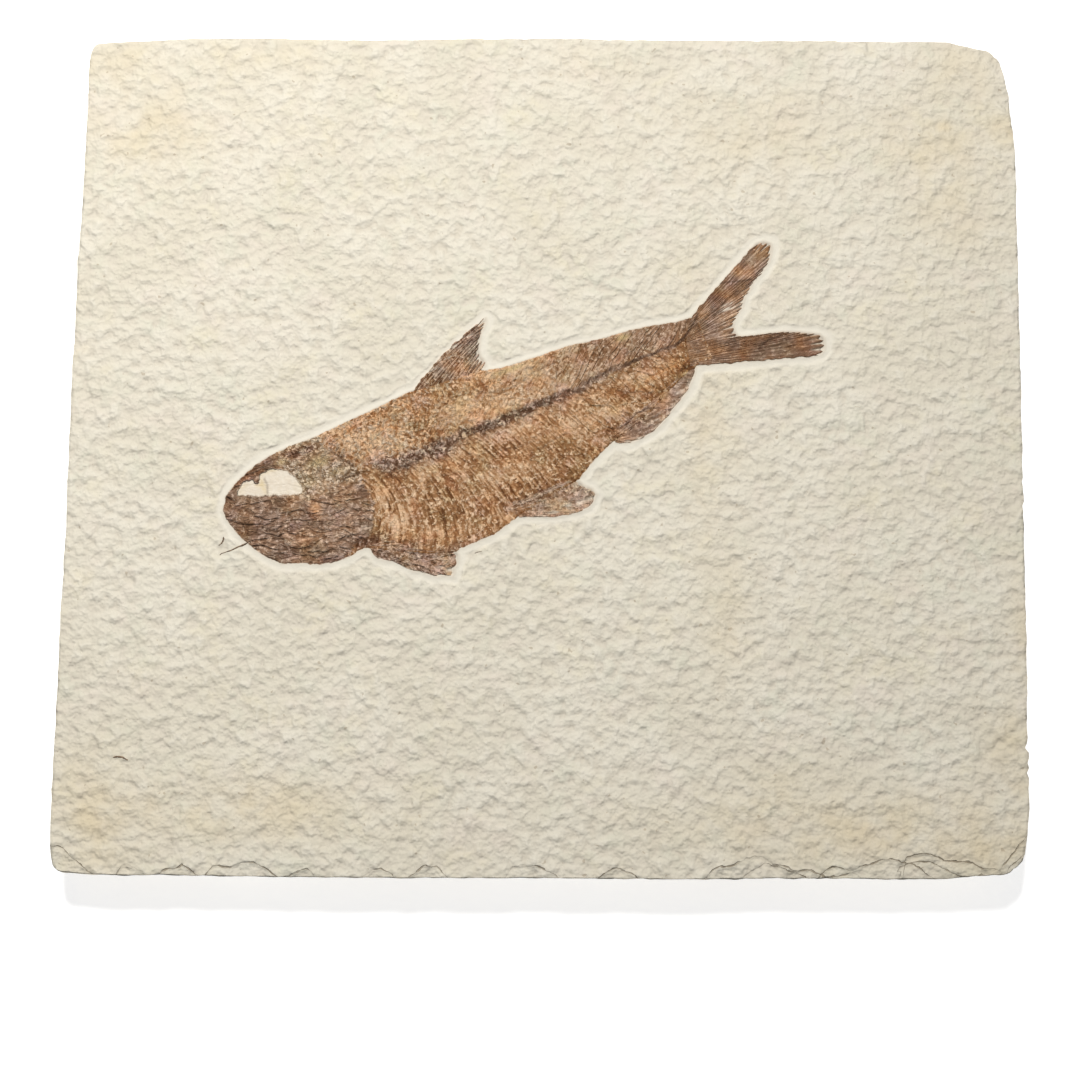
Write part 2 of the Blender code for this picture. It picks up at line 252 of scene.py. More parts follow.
# Flakes struck off the face's edges: the line where each one's break starts. Stone on
# the edge's side of the line has come away in a thin sheet
FOOT_FLAKES = [
    [(-97.4, -79.0), (-95.1, -79.0), (-93.5, -80.0), (-92.3, -81.6), (-91.2, -82.5), (-89.6, -83.9),
     (-87.0, -85.5)], [(-84.5, -85.6), (-82.3, -82.6), (-78.1, -84.5), (-77.0, -85.6)],
    [(-76.3, -85.6), (-74.6, -83.4), (-72.5, -83.3), (-70.8, -82.5), (-68.0, -84.5),
     (-67.4, -85.4)], [(-67.0, -85.5), (-65.1, -82.8), (-61.6, -83.2), (-59.5, -82.2),
     (-56.9, -82.0), (-53.6, -84.1), (-51.5, -85.6)], [(-52.4, -85.6), (-49.6, -84.4),
     (-47.1, -83.5), (-45.6, -84.1), (-44.6, -85.5)], [(-36.8, -85.6), (-34.0, -84.0),
     (-32.3, -83.6), (-30.4, -84.3), (-29.3, -85.6)], [(-27.4, -85.8), (-25.6, -84.0),
     (-23.5, -82.9), (-21.0, -83.3), (-18.8, -85.8)], [(-8.4, -85.9), (-6.6, -83.2), (-1.5, -82.9),
     (1.8, -84.4), (3.0, -86.0)], [(9.6, -86.0), (11.5, -84.3), (13.9, -83.6), (16.6, -84.4),
     (18.4, -86.0)], [(30.4, -86.2), (32.2, -84.2), (34.0, -83.1), (36.1, -83.2), (37.6, -82.5),
     (39.2, -81.4), (40.4, -81.1), (42.3, -81.2), (44.2, -82.6), (46.6, -83.0), (49.0, -84.3),
     (51.2, -85.6)], [(37.4, -86.2), (39.8, -84.0), (42.6, -82.6), (45.4, -83.0), (47.7, -84.3),
     (49.3, -83.9), (51.2, -83.7), (53.0, -84.2), (54.8, -85.0), (57.0, -84.9), (59.0, -84.3),
     (61.0, -83.2), (62.8, -82.7), (64.0, -82.5), (65.6, -81.9), (67.5, -81.7), (70.3, -82.2),
     (72.0, -83.0), (73.4, -83.9), (76.4, -86.0)], [(52.4, -86.2), (54.6, -83.5), (56.0, -82.7),
     (57.8, -83.0), (59.6, -83.9), (61.4, -85.0), (62.6, -86.0)], [(68.9, -83.2), (70.8, -82.6),
     (73.1, -82.2), (75.4, -82.3), (76.9, -82.9), (78.6, -84.1), (80.4, -84.8), (82.2, -85.2),
     (85.4, -84.6), (87.8, -85.6)], [(69.6, -86.0), (70.3, -81.4), (72.0, -80.7), (74.0, -80.5),
     (75.7, -80.9), (77.6, -82.0), (79.4, -82.2), (81.6, -82.1), (83.4, -82.4), (85.2, -83.3),
     (87.6, -83.8), (88.8, -83.9), (89.4, -86.0)], [(88.4, -86.0), (88.8, -83.2), (91.0, -80.9),
     (92.4, -79.3), (94.2, -77.5), (95.5, -75.7), (97.6, -74.4)], [(89.6, -86.0), (90.4, -83.0),
     (92.6, -81.4), (94.6, -80.6), (97.4, -80.4)]
]
TOP_FLAKES = [
    [(59.0, 87.0), (61.5, 85.2), (66.0, 83.6), (73.0, 82.4), (79.0, 82.0), (84.0, 81.6),
     (88.0, 81.9), (92.0, 79.4), (94.4, 75.2), (95.4, 68.0), (98.0, 66.0)]
]
# How deep a flake's step is and how fast its floor falls to the edge. Flakes that overlap
# are on different layers, and a layer holds distances no greater than FLAKE_FAR
FLAKE_STEP, FLAKE_SLOPE = 0.24, 0.06
FLAKE_LAYERS, FLAKE_FAR = 4, 3.0

# The groove cut round the fish with a needle: how deep, and how far out its bottom and
# its outer edge lie
GROOVE_DEPTH, GROOVE_MIDDLE, GROOVE_EDGE = 0.13, 0.95, 1.95

# Yellow and buff stains on the face: middle x and y, half width and half height, strength
STAINS = [
    (-81.0, 66.0, 12.0, 9.0, 0.7), (-88.0, 80.0, 9.0, 6.0, 0.5), (-60.0, 82.0, 18.0, 4.0, 0.35),
    (42.0, 66.0, 14.0, 9.0, 0.5), (80.0, 62.0, 12.0, 8.0, 0.6), (82.4, 67.0, 2.4, 1.6, 1.0),
    (95.0, 66.0, 3.6, 3.6, 0.9), (84.0, 50.0, 8.0, 9.0, 0.5), (33.0, 6.0, 6.0, 30.0, 0.5),
    (86.0, 78.0, 8.0, 9.0, 0.5), (36.0, -34.0, 5.0, 14.0, 0.45), (-62.0, -72.0, 26.0, 6.5, 0.75),
    (-88.0, -73.0, 9.0, 11.0, 0.9), (66.0, -76.0, 36.0, 7.0, 0.8), (44.0, -71.0, 13.0, 7.0, 0.6),
    (92.0, -62.0, 6.0, 14.0, 0.6), (86.0, -80.0, 12.0, 6.0, 0.8), (82.0, -75.0, 9.0, 6.0, 0.6),
    (10.0, 80.0, 8.0, 4.0, 0.35), (95.0, -36.0, 3.0, 16.0, 0.5)
]


def put(tree, kind, inputs=None, **settings):
    """Adds a shader node: its settings, then its inputs, linked or constant."""
    made = tree.nodes.new("ShaderNode" + kind)
    for name, value in settings.items():
        setattr(made, name, value)
    for name, value in (inputs or {}).items():
        if isinstance(value, bpy.types.NodeSocket):
            tree.links.new(value, made.inputs[name])
        else:
            made.inputs[name].default_value = value
    return made


def noise_of(tree, place, scale, detail, roughness=0.5, distortion=0.0, out=0, **settings):
    """A noise pattern's value, or its colour."""
    inputs = {"Vector": place, "Scale": scale, "Detail": detail,
              "Roughness": roughness, "Distortion": distortion}
    return put(tree, "TexNoise", inputs, **settings).outputs[out]


def stretched(tree, place, scale):
    """A pattern's place, scaled each way."""
    return put(tree, "Mapping", {"Vector": place, "Scale": scale}).outputs[0]


def blend(tree, share, first, second, how="MIX"):
    """Mixes two colours, or tints the first with the second."""
    inputs = {0: share, 6: first, 7: second}
    return put(tree, "Mix", inputs, data_type="RGBA", blend_type=how).outputs[2]


def mask(tree, value, low, high, start=0.0, end=1.0, shape="SMOOTHSTEP"):
    """Maps a value from one range to another."""
    inputs = {"Value": value, "From Min": low, "From Max": high, "To Min": start, "To Max": end}
    return put(tree, "MapRange", inputs, interpolation_type=shape).outputs[0]


def worked(tree, how, *numbers):
    """One sum on numbers or masks."""
    return put(tree, "Math", dict(enumerate(numbers)), operation=how).outputs[0]


def plus(tree, first, second):
    """Adds two masks."""
    return worked(tree, "ADD", first, second)


def minus(tree, first, second):
    """Takes the second mask from the first."""
    return worked(tree, "SUBTRACT", first, second)


def times(tree, first, second):
    """Multiplies two masks."""
    return worked(tree, "MULTIPLY", first, second)


def read(tree, name):
    """A number that was painted on the piece."""
    return put(tree, "Attribute", attribute_name=name).outputs["Fac"]


def new_material(name):
    """A material, its node tree and its shader."""
    material = bpy.data.materials.new(name)
    material.use_nodes = True
    return material, material.node_tree, material.node_tree.nodes["Principled BSDF"]


def set_surface(tree, shader, colour, roughness, height, depth):
    """Gives a stone or bone its colour, its roughness and a relief so many millimetres deep."""
    tree.links.new(colour, shader.inputs["Base Color"])
    tree.links.new(roughness, shader.inputs["Roughness"])
    bump = put(tree, "Bump", {"Height": height, "Strength": 1.0, "Distance": depth * MM})
    tree.links.new(bump.outputs["Normal"], shader.inputs["Normal"])


limestone, tree, shader = new_material("limestone")
where = put(tree, "TexCoord").outputs["Object"]
bumps = noise_of(tree, where, 470.0, 2.0, 0.42)
dimples = noise_of(tree, where, 190.0, 2.0)
grain = noise_of(tree, where, 2600.0, 2.0)
cloud = noise_of(tree, where, 60.0, 3.0)
stain_break = noise_of(tree, where, 150.0, 4.0)
fleck_noise = noise_of(tree, where, 700.0, 1.0)
halo, wall, stain = (read(tree, name) for name in ("halo", "wall", "stain"))
# the face: two creams, tinted pink, green and yellow, with painted shade in its dimples and painted
# highlights on its crests
broad = noise_of(tree, where, 110.0, 3.0, 0.6, out="Color")
tints = put(tree, "SeparateColor", {"Color": broad}).outputs
stone = blend(tree, mask(tree, cloud, 0.35, 0.65), (0.79, 0.73, 0.595, 1), (0.835, 0.78, 0.655, 1))
for tint, low, share, colour in ((tints[0], 0.5, 0.5, (0.83, 0.735, 0.625, 1)),
                                 (tints[1], 0.5, 0.5, (0.755, 0.74, 0.60, 1)),
                                 (tints[2], 0.52, 0.4, (0.84, 0.76, 0.56, 1))):
    stone = blend(tree, mask(tree, tint, low, 0.72, 0.0, share), stone, colour)
stone = blend(tree, mask(tree, bumps, 0.30, 0.50), (0.77, 0.705, 0.58, 1), stone)
stone = blend(tree, mask(tree, bumps, 0.56, 0.72, 0.0, 0.35), stone, (0.89, 0.845, 0.73, 1))
# then its yellow stains, dark flecks, scraped halo, and the shade under the fish's edge
yellow = times(tree, stain, mask(tree, stain_break, 0.30, 0.68, 0.25, 1.0))
for share, colour in (
        (yellow, (0.775, 0.66, 0.455, 1)),
        (mask(tree, fleck_noise, 0.745, 0.79, 0.0, 0.5), (0.42, 0.33, 0.22, 1)),
        (times(tree, halo, 0.85), (0.88, 0.825, 0.705, 1)),
        (read(tree, "fish_shade"), (0.42, 0.29, 0.185, 1))):
    stone = blend(tree, share, stone, colour)
# the side walls: thin beds, darker and paler
bedding = noise_of(tree, stretched(tree, where, (1.0, 1.0, 26.0)), 40.0, 4.0)
wall_stone = blend(tree, mask(tree, bedding, 0.35, 0.65),
                   (0.56, 0.47, 0.34, 1), (0.82, 0.75, 0.61, 1))
stone = blend(tree, wall, stone, wall_stone)
# broken brown lines where the flakes came away: painted shade and dirt along each flake's step
line_gap = FLAKE_FAR
for layer in range(FLAKE_LAYERS):
    gap = plus(tree, read(tree, "flake_%d" % layer), mask(tree, stain_break, 0.3, 0.7, -0.25, 0.25))
    line_gap = worked(tree, "MINIMUM", line_gap, worked(tree, "ABSOLUTE", gap))
crack_width = mask(tree, fleck_noise, 0.35, 0.65, 0.07, 0.26)
flake_shade_and_dirt = mask(tree, worked(tree, "DIVIDE", line_gap, crack_width), 0.4, 1.0, 0.72, 0.0)
flake_shade_and_dirt = times(tree, flake_shade_and_dirt, mask(tree, dimples, 0.36, 0.56, 0.12, 1.0))
flake_shade_and_dirt = times(tree, flake_shade_and_dirt, mask(tree, wall, 0.0, 0.8, 1.0, 0.0))
stone = blend(tree, flake_shade_and_dirt, stone, (0.30, 0.225, 0.14, 1))
lumps = minus(tree, plus(tree, bumps, times(tree, dimples, 0.3)), 0.65)
lumps = times(tree, lumps, mask(tree, halo, 0.0, 1.0, 1.0, 0.22))
lumps = plus(tree, lumps, times(tree, grain, 0.03))
lumps = minus(tree, lumps, times(tree, flake_shade_and_dirt, 0.3))
lumps = plus(tree, lumps, times(tree, wall, bedding))
set_surface(tree, shader, stone, mask(tree, grain, 0.3, 0.7, 0.82, 0.95), lumps, 1.3)

form = bmesh.new()
rows = FINE_ROWS + PLAIN_ROWS
bmesh.ops.create_grid(form, x_segments=FACE_COLUMNS, y_segments=rows, size=0.5)
row_heights = np.concatenate([
    np.linspace(0.0, FINE_DEPTH, FINE_ROWS + 1),
    np.linspace(FINE_DEPTH, plate_high.y - plate_low.y, PLAIN_ROWS + 1)[1:]])
for vertex in form.verts:
    across = vertex.co.x + 0.5
    up = row_heights[int(round((vertex.co.y + 0.5) * rows))] / row_heights[-1]
    square_x = plate_low.x + (plate_high.x - plate_low.x) * across
    square_y = plate_low.y + (plate_high.y - plate_low.y) * up
    left, right = read_line(PLATE_LEFT, square_y), read_line(PLATE_RIGHT, square_y)
    foot, top = read_line(PLATE_FOOT, square_x), read_line(PLATE_TOP, square_x)
    vertex.co = (left * (1.0 - across) + right * across, foot * (1.0 - up) + top * up, 0.0)
for (side, end), cut in CORNER_CUTS.items():
    corner = Vector((read_line(PLATE_LEFT if side < 0 else PLATE_RIGHT, HALF_HEIGHT * end),
                     read_line(PLATE_FOOT if end < 0 else PLATE_TOP, HALF_WIDTH * side), 0.0))
    centre = corner - Vector((side * cut, end * cut, 0.0))
    for vertex in form.verts:
        out = vertex.co - centre
        reach = max(abs(out.x), abs(out.y))
        if out.x * side > 0.0 and out.y * end > 0.0 and reach <= cut * CORNER_REACH:
            vertex.co = centre + out * (reach / out.length)
for reach in FINER_REACHES:
    gaps = fish_gap(*np.array([vertex.co[:2] for vertex in form.verts]).T)
    near = (gaps > -FINER_INSIDE) & (gaps < reach)
    band = [edge for edge in form.edges if all(near[corner.index] for corner in edge.verts)]
    bmesh.ops.subdivide_edges(form, edges=band, cuts=1, use_grid_fill=True)
    form.verts.index_update()

# The rim is carried down the side walls in rings, ring by ring: how far below the face,
# and how far each bed stands out from the face's own edge
WALL_RINGS = [
    (0.22, 0.18), (0.6, 0.34), (1.3, 0.42), (1.9, 0.4), (2.0, 0.15), (3.2, 0.3), (3.4, 0.55),
    (5.2, 0.5), (5.4, 0.2), (7.0, 0.25), (7.2, 0.6), (9.2, 0.5), (9.4, 0.25), (11.2, 0.3),
    (12.0, 0.0)
]
ARRIS_DROP = 0.4        # a wall always starts at least this far under a flake's floor
rim_edges = ring_edges = [edge for edge in form.edges if edge.is_boundary]
ring_starts = []
for ring in WALL_RINGS:
    ring_starts.append(len(form.verts))
    grown = bmesh.ops.extrude_edge_only(form, edges=ring_edges)["geom"]
    ring_edges = [item for item in grown
                  if isinstance(item, bmesh.types.BMEdge) and item.is_boundary]
bmesh.ops.edgeloop_fill(form, edges=ring_edges)
form.verts.index_update()
x, y = np.array([vertex.co[:2] for vertex in form.verts]).T
ring_index = np.searchsorted(ring_starts, np.arange(len(x)), side="right")
on_wall = ring_index > 0

# The face's own relief: the groove round the fish, the halo's floor, and the flakes
gaps = fish_gap(x, y)
along_groove = rough(in_fish(x, y)[0] / 6.0, gaps / 0.42, 1.0, 5.0)
groove_gap = np.clip(gaps, 0.0, 9.0) * (1.0 + 0.22 * rough(x, y, 9.0, 3.0))
groove_gap += 0.25 * rough(x, y, 2.4, 6.0)
groove = step(-0.2, GROOVE_MIDDLE, groove_gap) * fade(GROOVE_MIDDLE, GROOVE_EDGE, groove_gap)
in_halo = fade(1.0, 2.1, groove_gap)
swell = 0.07 * rough(x, y, 5.0, 11.0, 3) + 0.08 * rough(x, y, 22.0, 12.0)
level = FACE_LEVEL + swell * (1.0 - in_halo)
level -= (GROOVE_DEPTH * groove + 0.05 * in_halo
          + 0.05 * along_groove * step(0.2, 1.0, gaps) * fade(2.0, 3.0, gaps))
level -= 0.30 * fade(-0.45, -0.1, gaps)
flake_lines = [np.full(len(x), -FLAKE_FAR) for layer in range(FLAKE_LAYERS)]
fallen = np.zeros(len(x))
wander = 0.34 * rough(x, y, 2.4, 31.0) + 0.22 * rough(x, y, 0.9, 32.0)
for number, flake in enumerate(FOOT_FLAKES + TOP_FLAKES):
    line_x, line_y = zip(*flake)
    at_foot = line_y[0] < 0.0
    covered = (x > line_x[0]) & (x < line_x[-1])
    toward_edge = (np.interp(x, line_x, line_y) - y) * (1.0 if at_foot else -1.0) + wander
    lost = step(0.0, 0.3, toward_edge) * FLAKE_STEP + clamp(toward_edge, 4.0) * FLAKE_SLOPE
    deeper = np.where(covered, 0.35 * np.minimum(lost, fallen), 0.0)
    fallen = np.maximum(fallen, np.where(covered, lost, 0.0)) + deeper
    if at_foot:
        layer = flake_lines[number % FLAKE_LAYERS]
        layer[covered] = np.clip(toward_edge, -FLAKE_FAR, FLAKE_FAR)[covered]
face_z = level - fallen

# Which way the rim faces at each of its points; the rings under a point face the same way
outward = {}
for edge in rim_edges:
    a, b = (corner.co.xy for corner in edge.verts)
    side = Vector((b.y - a.y, a.x - b.x))
    side = side if side.dot((a + b) / 2.0) > 0.0 else -side
    for corner in edge.verts:
        outward[corner.index] = outward.get(corner.index, Vector((0.0, 0.0))) + side.normalized()
way_at = {(round(x[index], 3), round(y[index], 3)): way.normalized()
          for index, way in outward.items()}
on_edge = on_wall.copy()
on_edge[list(outward)] = True
normal = np.zeros((len(x), 2))
for index in np.flatnonzero(on_edge):
    normal[index] = way_at[round(x[index], 3), round(y[index], 3)]

# How far below the face each ring lies, and how ragged the bed's edge is there, with
# bites out of the lower half of the right side
ring_depth, ring_out = np.array([(0.0, 0.0)] + WALL_RINGS)[ring_index].T
bites = clamp(rough(x, y, 2.6, 51.0, 3) - 0.28) * 2.2
bites *= step(94.0, 95.0, x) * step(0.0, -12.0, y) * step(-72.0, -62.0, y)
ragged = 0.10 * rough(x, y, 3.0, 41.0, 3) - bites
bed = 0.35 * rough(x + ring_depth * 9.0, y, 5.0, 43.0, 3)
shift = on_edge * (ragged - 0.2) + on_wall * (0.55 * ring_out + 0.6 * bed)
wall_z = np.minimum(face_z - np.minimum(ring_depth, ARRIS_DROP), FACE_LEVEL - ring_depth)
new_z = np.where(on_wall, wall_z, face_z)
new_z[ring_index == len(WALL_RINGS)] = 0.0
new_x, new_y = x + normal[:, 0] * shift, y + normal[:, 1] * shift
for vertex, place in zip(form.verts, zip(new_x, new_y, new_z)):
    vertex.co = place
bmesh.ops.recalc_face_normals(form, faces=form.faces)
plate = finished("limestone_plate", form, limestone, "limestone_slab")
stain_map = np.zeros(len(x))
for stain_x, stain_y, half_x, half_y, strength in STAINS:
    spread = ((x - stain_x) / half_x) ** 2 + ((y - stain_y) / half_y) ** 2
    stain_map = np.maximum(stain_map, strength * np.exp(-spread))
under_body = within(*in_fish(x, y), BODY_OUTLINE)
paint(plate, "halo", in_halo)
paint(plate, "fish_shade", np.where(under_body, 0.62, 0.22) * fade(0.0, 0.45, gaps))
paint(plate, "wall", step(0.5, 2.5, ring_index.astype(float)))
paint(plate, "stain", stain_map)
for layer, values in enumerate(flake_lines):
    paint(plate, "flake_%d" % layer, values)

# The fish's body. Brown fossil bone and skin pressed flat, worked free of the rock with a
# needle: a dark crumpled head and gill cover, a broken dark backbone, thin ribs that
# sweep back to the belly, and fine slanting lines over the back.
BODY_COLUMNS, BODY_ROWS = 544, 120
BODY_START, BODY_END = -0.9, 102.8
BODY_FOOT, BODY_EDGE, SOCKET_LEVEL = 11.38, 11.74, 12.03       # heights over the table
BACKBONE = [
    (22.0, -2.6), (30.2, -2.2), (33.8, -3.6), (36.9, -3.8), (39.5, -3.5), (42.6, -3.5),
    (45.6, -3.5), (48.0, -2.7), (49.9, -2.2), (52.8, -2.3), (55.4, -2.4), (61.1, -2.1),
    (65.4, -1.5), (68.5, -1.4), (71.9, -1.2), (75.6, -1.1), (79.1, -0.2), (82.3, 0.3), (84.8, 0.3),
    (89.0, 0.9), (92.3, 0.8), (96.2, 1.0), (98.4, 1.6), (100.8, 3.2), (102.9, 5.0)
]
# Black cracks in and beside the backbone
SPINE_CRACKS = [
    [(32.0, -1.2), (32.8, -2.0), (33.6, -3.3)], [(35.2, -4.7), (37.6, -4.8), (39.1, -4.3),
     (40.5, -4.2)], [(42.2, -2.4), (44.2, -2.1), (45.0, -2.7), (46.8, -3.8)], [(48.4, -2.5),
     (49.4, -2.2), (49.8, -1.7), (51.4, -1.7), (53.6, -2.1)], [(54.4, -2.8), (55.4, -2.1),
     (56.3, -2.5)], [(58.4, -1.4), (59.5, -2.0), (60.8, -1.2), (61.8, -1.3)], [(62.0, -2.5),
     (62.9, -2.8), (64.0, -2.5)], [(64.8, -1.2), (65.7, -1.1), (66.4, -1.9), (67.3, -1.4),
     (67.9, -2.2)], [(68.8, -1.4), (70.1, -0.5), (71.8, -0.5), (72.8, -1.0)], [(73.4, -1.3),
     (75.0, -1.8), (76.4, -2.8)], [(77.0, -0.6), (77.8, 0.1), (79.6, -0.1), (81.5, 0.5),
     (83.6, 1.0), (84.8, 0.8)], [(85.4, 0.4), (88.4, 0.6), (89.8, 0.8), (91.7, 0.7), (93.2, 1.0),
     (95.0, 1.1), (96.8, 0.9), (98.4, 1.6), (99.8, 2.8), (101.4, 4.0), (103.0, 5.8)]
]
EYE_SOCKET = [
    (3.0, 0.8), (3.5, 1.7), (4.5, 2.6), (5.7, 2.9), (6.9, 2.5), (7.4, 1.5), (8.0, 1.7), (8.2, 2.9),
    (8.8, 3.3), (10.8, 3.5), (13.0, 2.9), (14.9, 1.0), (15.6, -0.7), (15.9, -2.2), (15.3, -3.2),
    (11.4, -2.2), (6.7, -0.7), (3.8, 0.4)
]
GILL_EDGE = [
    (22.2, 5.1), (25.0, 1.8), (27.1, -0.8), (27.5, -3.3), (27.8, -5.6), (28.1, -7.8), (28.4, -9.7),
    (27.7, -12.3), (26.6, -14.7), (25.5, -15.8), (22.5, -16.5), (20.2, -18.2)
]
# Creases in the head's plates and in the body: the deep ones, then the soft ones
DEEP_FOLDS = [
    [(6.5, -11.1), (7.7, -11.8), (9.3, -12.6), (11.9, -13.6), (14.0, -14.2), (15.3, -14.7)],
    [(21.5, -16.5), (22.5, -16.2), (23.8, -15.7), (26.3, -15.3)], [(1.1, -4.9), (2.3, -5.5),
     (3.4, -5.8), (4.4, -6.2)], [(22.7, 2.8), (23.9, 2.7), (24.8, 1.8), (25.4, 0.8), (26.3, -0.2),
     (27.1, -1.5)], [(8.7, -3.9), (10.0, -5.5), (11.0, -6.1), (12.3, -6.3)], [(7.8, -8.5),
     (8.7, -8.7), (9.7, -7.9)], [(3.2, -10.3), (4.8, -10.6), (6.8, -10.3)], [(24.1, -3.2),
     (25.8, -3.0), (27.2, -3.3), (29.2, -3.0)], [(81.4, -11.3), (83.1, -10.3), (84.4, -9.6),
     (85.8, -9.6), (86.8, -9.4), (89.1, -10.1)], [(39.3, -24.0), (40.2, -24.2), (41.3, -24.4)]
]
SOFT_FOLDS = [
    [(5.3, -2.1), (6.6, -3.4), (8.1, -3.7), (9.0, -4.7)], [(12.3, -6.3), (13.3, -6.4), (15.6, -6.2),
     (18.6, -6.0)], [(8.7, -2.7), (9.6, -3.5), (9.8, -4.6)], [(4.4, -6.2), (5.1, -6.6), (6.5, -7.5),
     (7.8, -8.5)], [(10.3, -9.6), (11.2, -9.7), (13.2, -9.6), (14.4, -10.1)], [(6.8, -10.3),
     (8.1, -10.5), (9.6, -9.2)], [(5.6, -12.5), (7.1, -12.3), (8.4, -12.5), (11.4, -14.6),
     (13.6, -15.6)], [(15.8, -11.7), (17.3, -11.7), (18.4, -11.8)], [(21.8, -14.7), (22.8, -14.4),
     (24.3, -15.0), (25.7, -15.0)], [(22.1, 4.6), (23.2, 3.6), (24.3, 2.4)], [(23.0, 5.8),
     (24.0, 4.5), (25.0, 3.1)], [(15.0, -15.8), (16.0, -17.1), (17.1, -17.9), (18.7, -17.5)],
    [(16.8, -2.8), (15.5, -4.6), (15.3, -7.3), (16.0, -9.7)], [(21.2, -3.3), (20.6, -6.3),
     (18.5, -8.4), (16.8, -11.4), (16.6, -14.1)], [(19.9, -8.2), (22.9, -9.9), (25.6, -10.1)],
    [(18.3, -13.3), (19.9, -14.6), (22.0, -14.6)], [(2.3, 2.1), (4.8, 3.4), (7.6, 4.6), (10.2, 5.1),
     (13.7, 5.0)], [(3.0, -7.4), (4.6, -8.1), (6.4, -8.9)], [(16.6, -9.6), (18.4, -10.6),
     (20.4, -10.6), (22.6, -11.8), (24.4, -11.6)], [(47.8, 4.5), (53.2, 5.6), (58.2, 3.8),
     (63.1, 3.6), (67.2, 5.1), (72.0, 5.6)], [(95.2, -4.6), (96.8, -3.4), (98.8, -2.4)],
    [(61.0, -11.6), (65.4, -9.6), (70.0, -8.8)], [(56.0, -7.8), (60.6, -8.6), (64.8, -7.4)],
    [(40.0, -9.4), (43.2, -8.8), (46.0, -9.6)], [(58.5, 2.8), (60.7, 3.4), (63.1, 4.7), (65.2, 6.2),
     (67.7, 6.3), (70.2, 6.3)], [(49.3, -5.9), (50.6, -7.0), (52.3, -9.6), (52.8, -10.5)],
    [(82.5, -4.1), (84.1, -4.9), (86.0, -5.5), (87.4, -6.3), (89.8, -6.9), (92.1, -7.2),
     (94.1, -6.9)], [(93.0, -6.0), (94.5, -5.8), (95.0, -4.3), (96.4, -4.3), (98.0, -3.9)],
    [(1.0, -1.0), (0.6, -2.2), (1.2, -3.4), (1.0, -4.4)], [(72.2, 4.4), (71.4, 2.4), (70.9, 0.2)],
    [(78.4, 2.0), (77.4, 0.2)]
]
# Darker blotches, and paler ones below 0: middle, half width, half height, strength
DARK_BLOTCHES = [
    (57.4, 6.1, 2.2, 0.9, 0.7), (17.8, 5.3, 3.0, 1.0, 0.5), (7.0, 3.9, 5.0, 0.9, 0.3),
    (1.4, 0.6, 1.2, 0.8, 0.7), (26.6, -3.0, 2.4, 0.8, 0.7), (24.8, 1.8, 1.2, 1.0, 0.3),
    (26.2, 3.6, 3.0, 2.4, -0.4), (80.0, 4.8, 16.0, 2.6, 0.22), (64.0, -9.6, 6.0, 1.6, 0.15),
    (59.0, -19.0, 5.0, 1.0, 0.5), (66.0, -17.4, 8.0, 1.6, 0.35), (40.0, -23.2, 3.4, 0.6, 0.3),
    (29.5, -18.8, 3.2, 1.0, 0.45), (36.5, -19.4, 4.0, 2.0, -0.3), (25.0, -16.6, 3.6, 1.1, 0.7),
    (34.0, -5.6, 4.0, 1.2, 0.45), (84.0, -12.2, 4.6, 2.0, 0.5), (91.4, -7.6, 4.6, 1.2, 0.35),
    (96.6, -4.0, 3.0, 0.9, 0.5), (25.9, -8.6, 1.8, 2.6, 0.35), (2.4, -5.8, 2.0, 1.8, 0.3),
    (101.0, 3.4, 4.0, 2.6, 0.25), (31.0, -16.0, 2.6, 3.0, -0.55), (30.0, -9.0, 1.2, 6.0, -0.45),
    (58.0, -5.3, 6.0, 1.2, -0.6), (36.0, 3.0, 5.0, 2.6, -0.3), (51.0, 1.6, 6.0, 2.0, -0.5),
    (88.0, -3.4, 7.0, 1.6, -0.34), (45.0, -6.4, 6.0, 1.3, -0.5), (71.0, -8.0, 6.0, 3.0, -0.42),
    (80.0, -8.8, 4.0, 2.4, -0.35), (12.4, -12.2, 3.4, 0.35, -0.55), (17.0, -7.3, 1.0, 1.9, -0.3),
    (19.6, -3.0, 2.0, 1.2, -0.5), (62.0, -23.6, 6.0, 0.7, -0.8)
]
# Painted highlights: pale chips of bone that catch the light
PAINTED_HIGHLIGHT_CHIPS = [
    (23.2, -10.4, 0.6, 0.3, 1.0), (20.8, -9.6, 0.4, 0.4, 0.8), (16.2, -13.5, 0.4, 0.4, 0.9),
    (25.4, -13.8, 0.4, 0.4, 0.8), (9.9, -10.0, 0.4, 0.3, 0.9), (10.4, -10.8, 0.4, 0.3, 0.8),
    (11.5, -10.5, 0.4, 0.2, 0.8), (18.0, 4.6, 0.4, 0.6, 1.2), (17.1, 3.9, 0.7, 0.3, 1.0),
    (23.9, 0.3, 0.3, 0.6, 1.0), (27.3, -4.5, 0.3, 0.5, 0.9), (15.2, -4.0, 0.6, 0.4, 1.0),
    (13.6, -3.9, 0.5, 0.2, 0.7), (5.6, -8.7, 0.5, 0.2, 0.7), (9.0, -7.9, 0.5, 0.2, 0.6),
    (21.6, 0.9, 0.8, 0.5, 0.5), (34.6, -13.0, 0.5, 1.6, 0.6), (38.8, -9.4, 0.4, 1.6, 0.6),
    (42.6, -8.2, 0.4, 1.2, 0.6), (47.4, -10.6, 0.4, 1.4, 0.5)
]
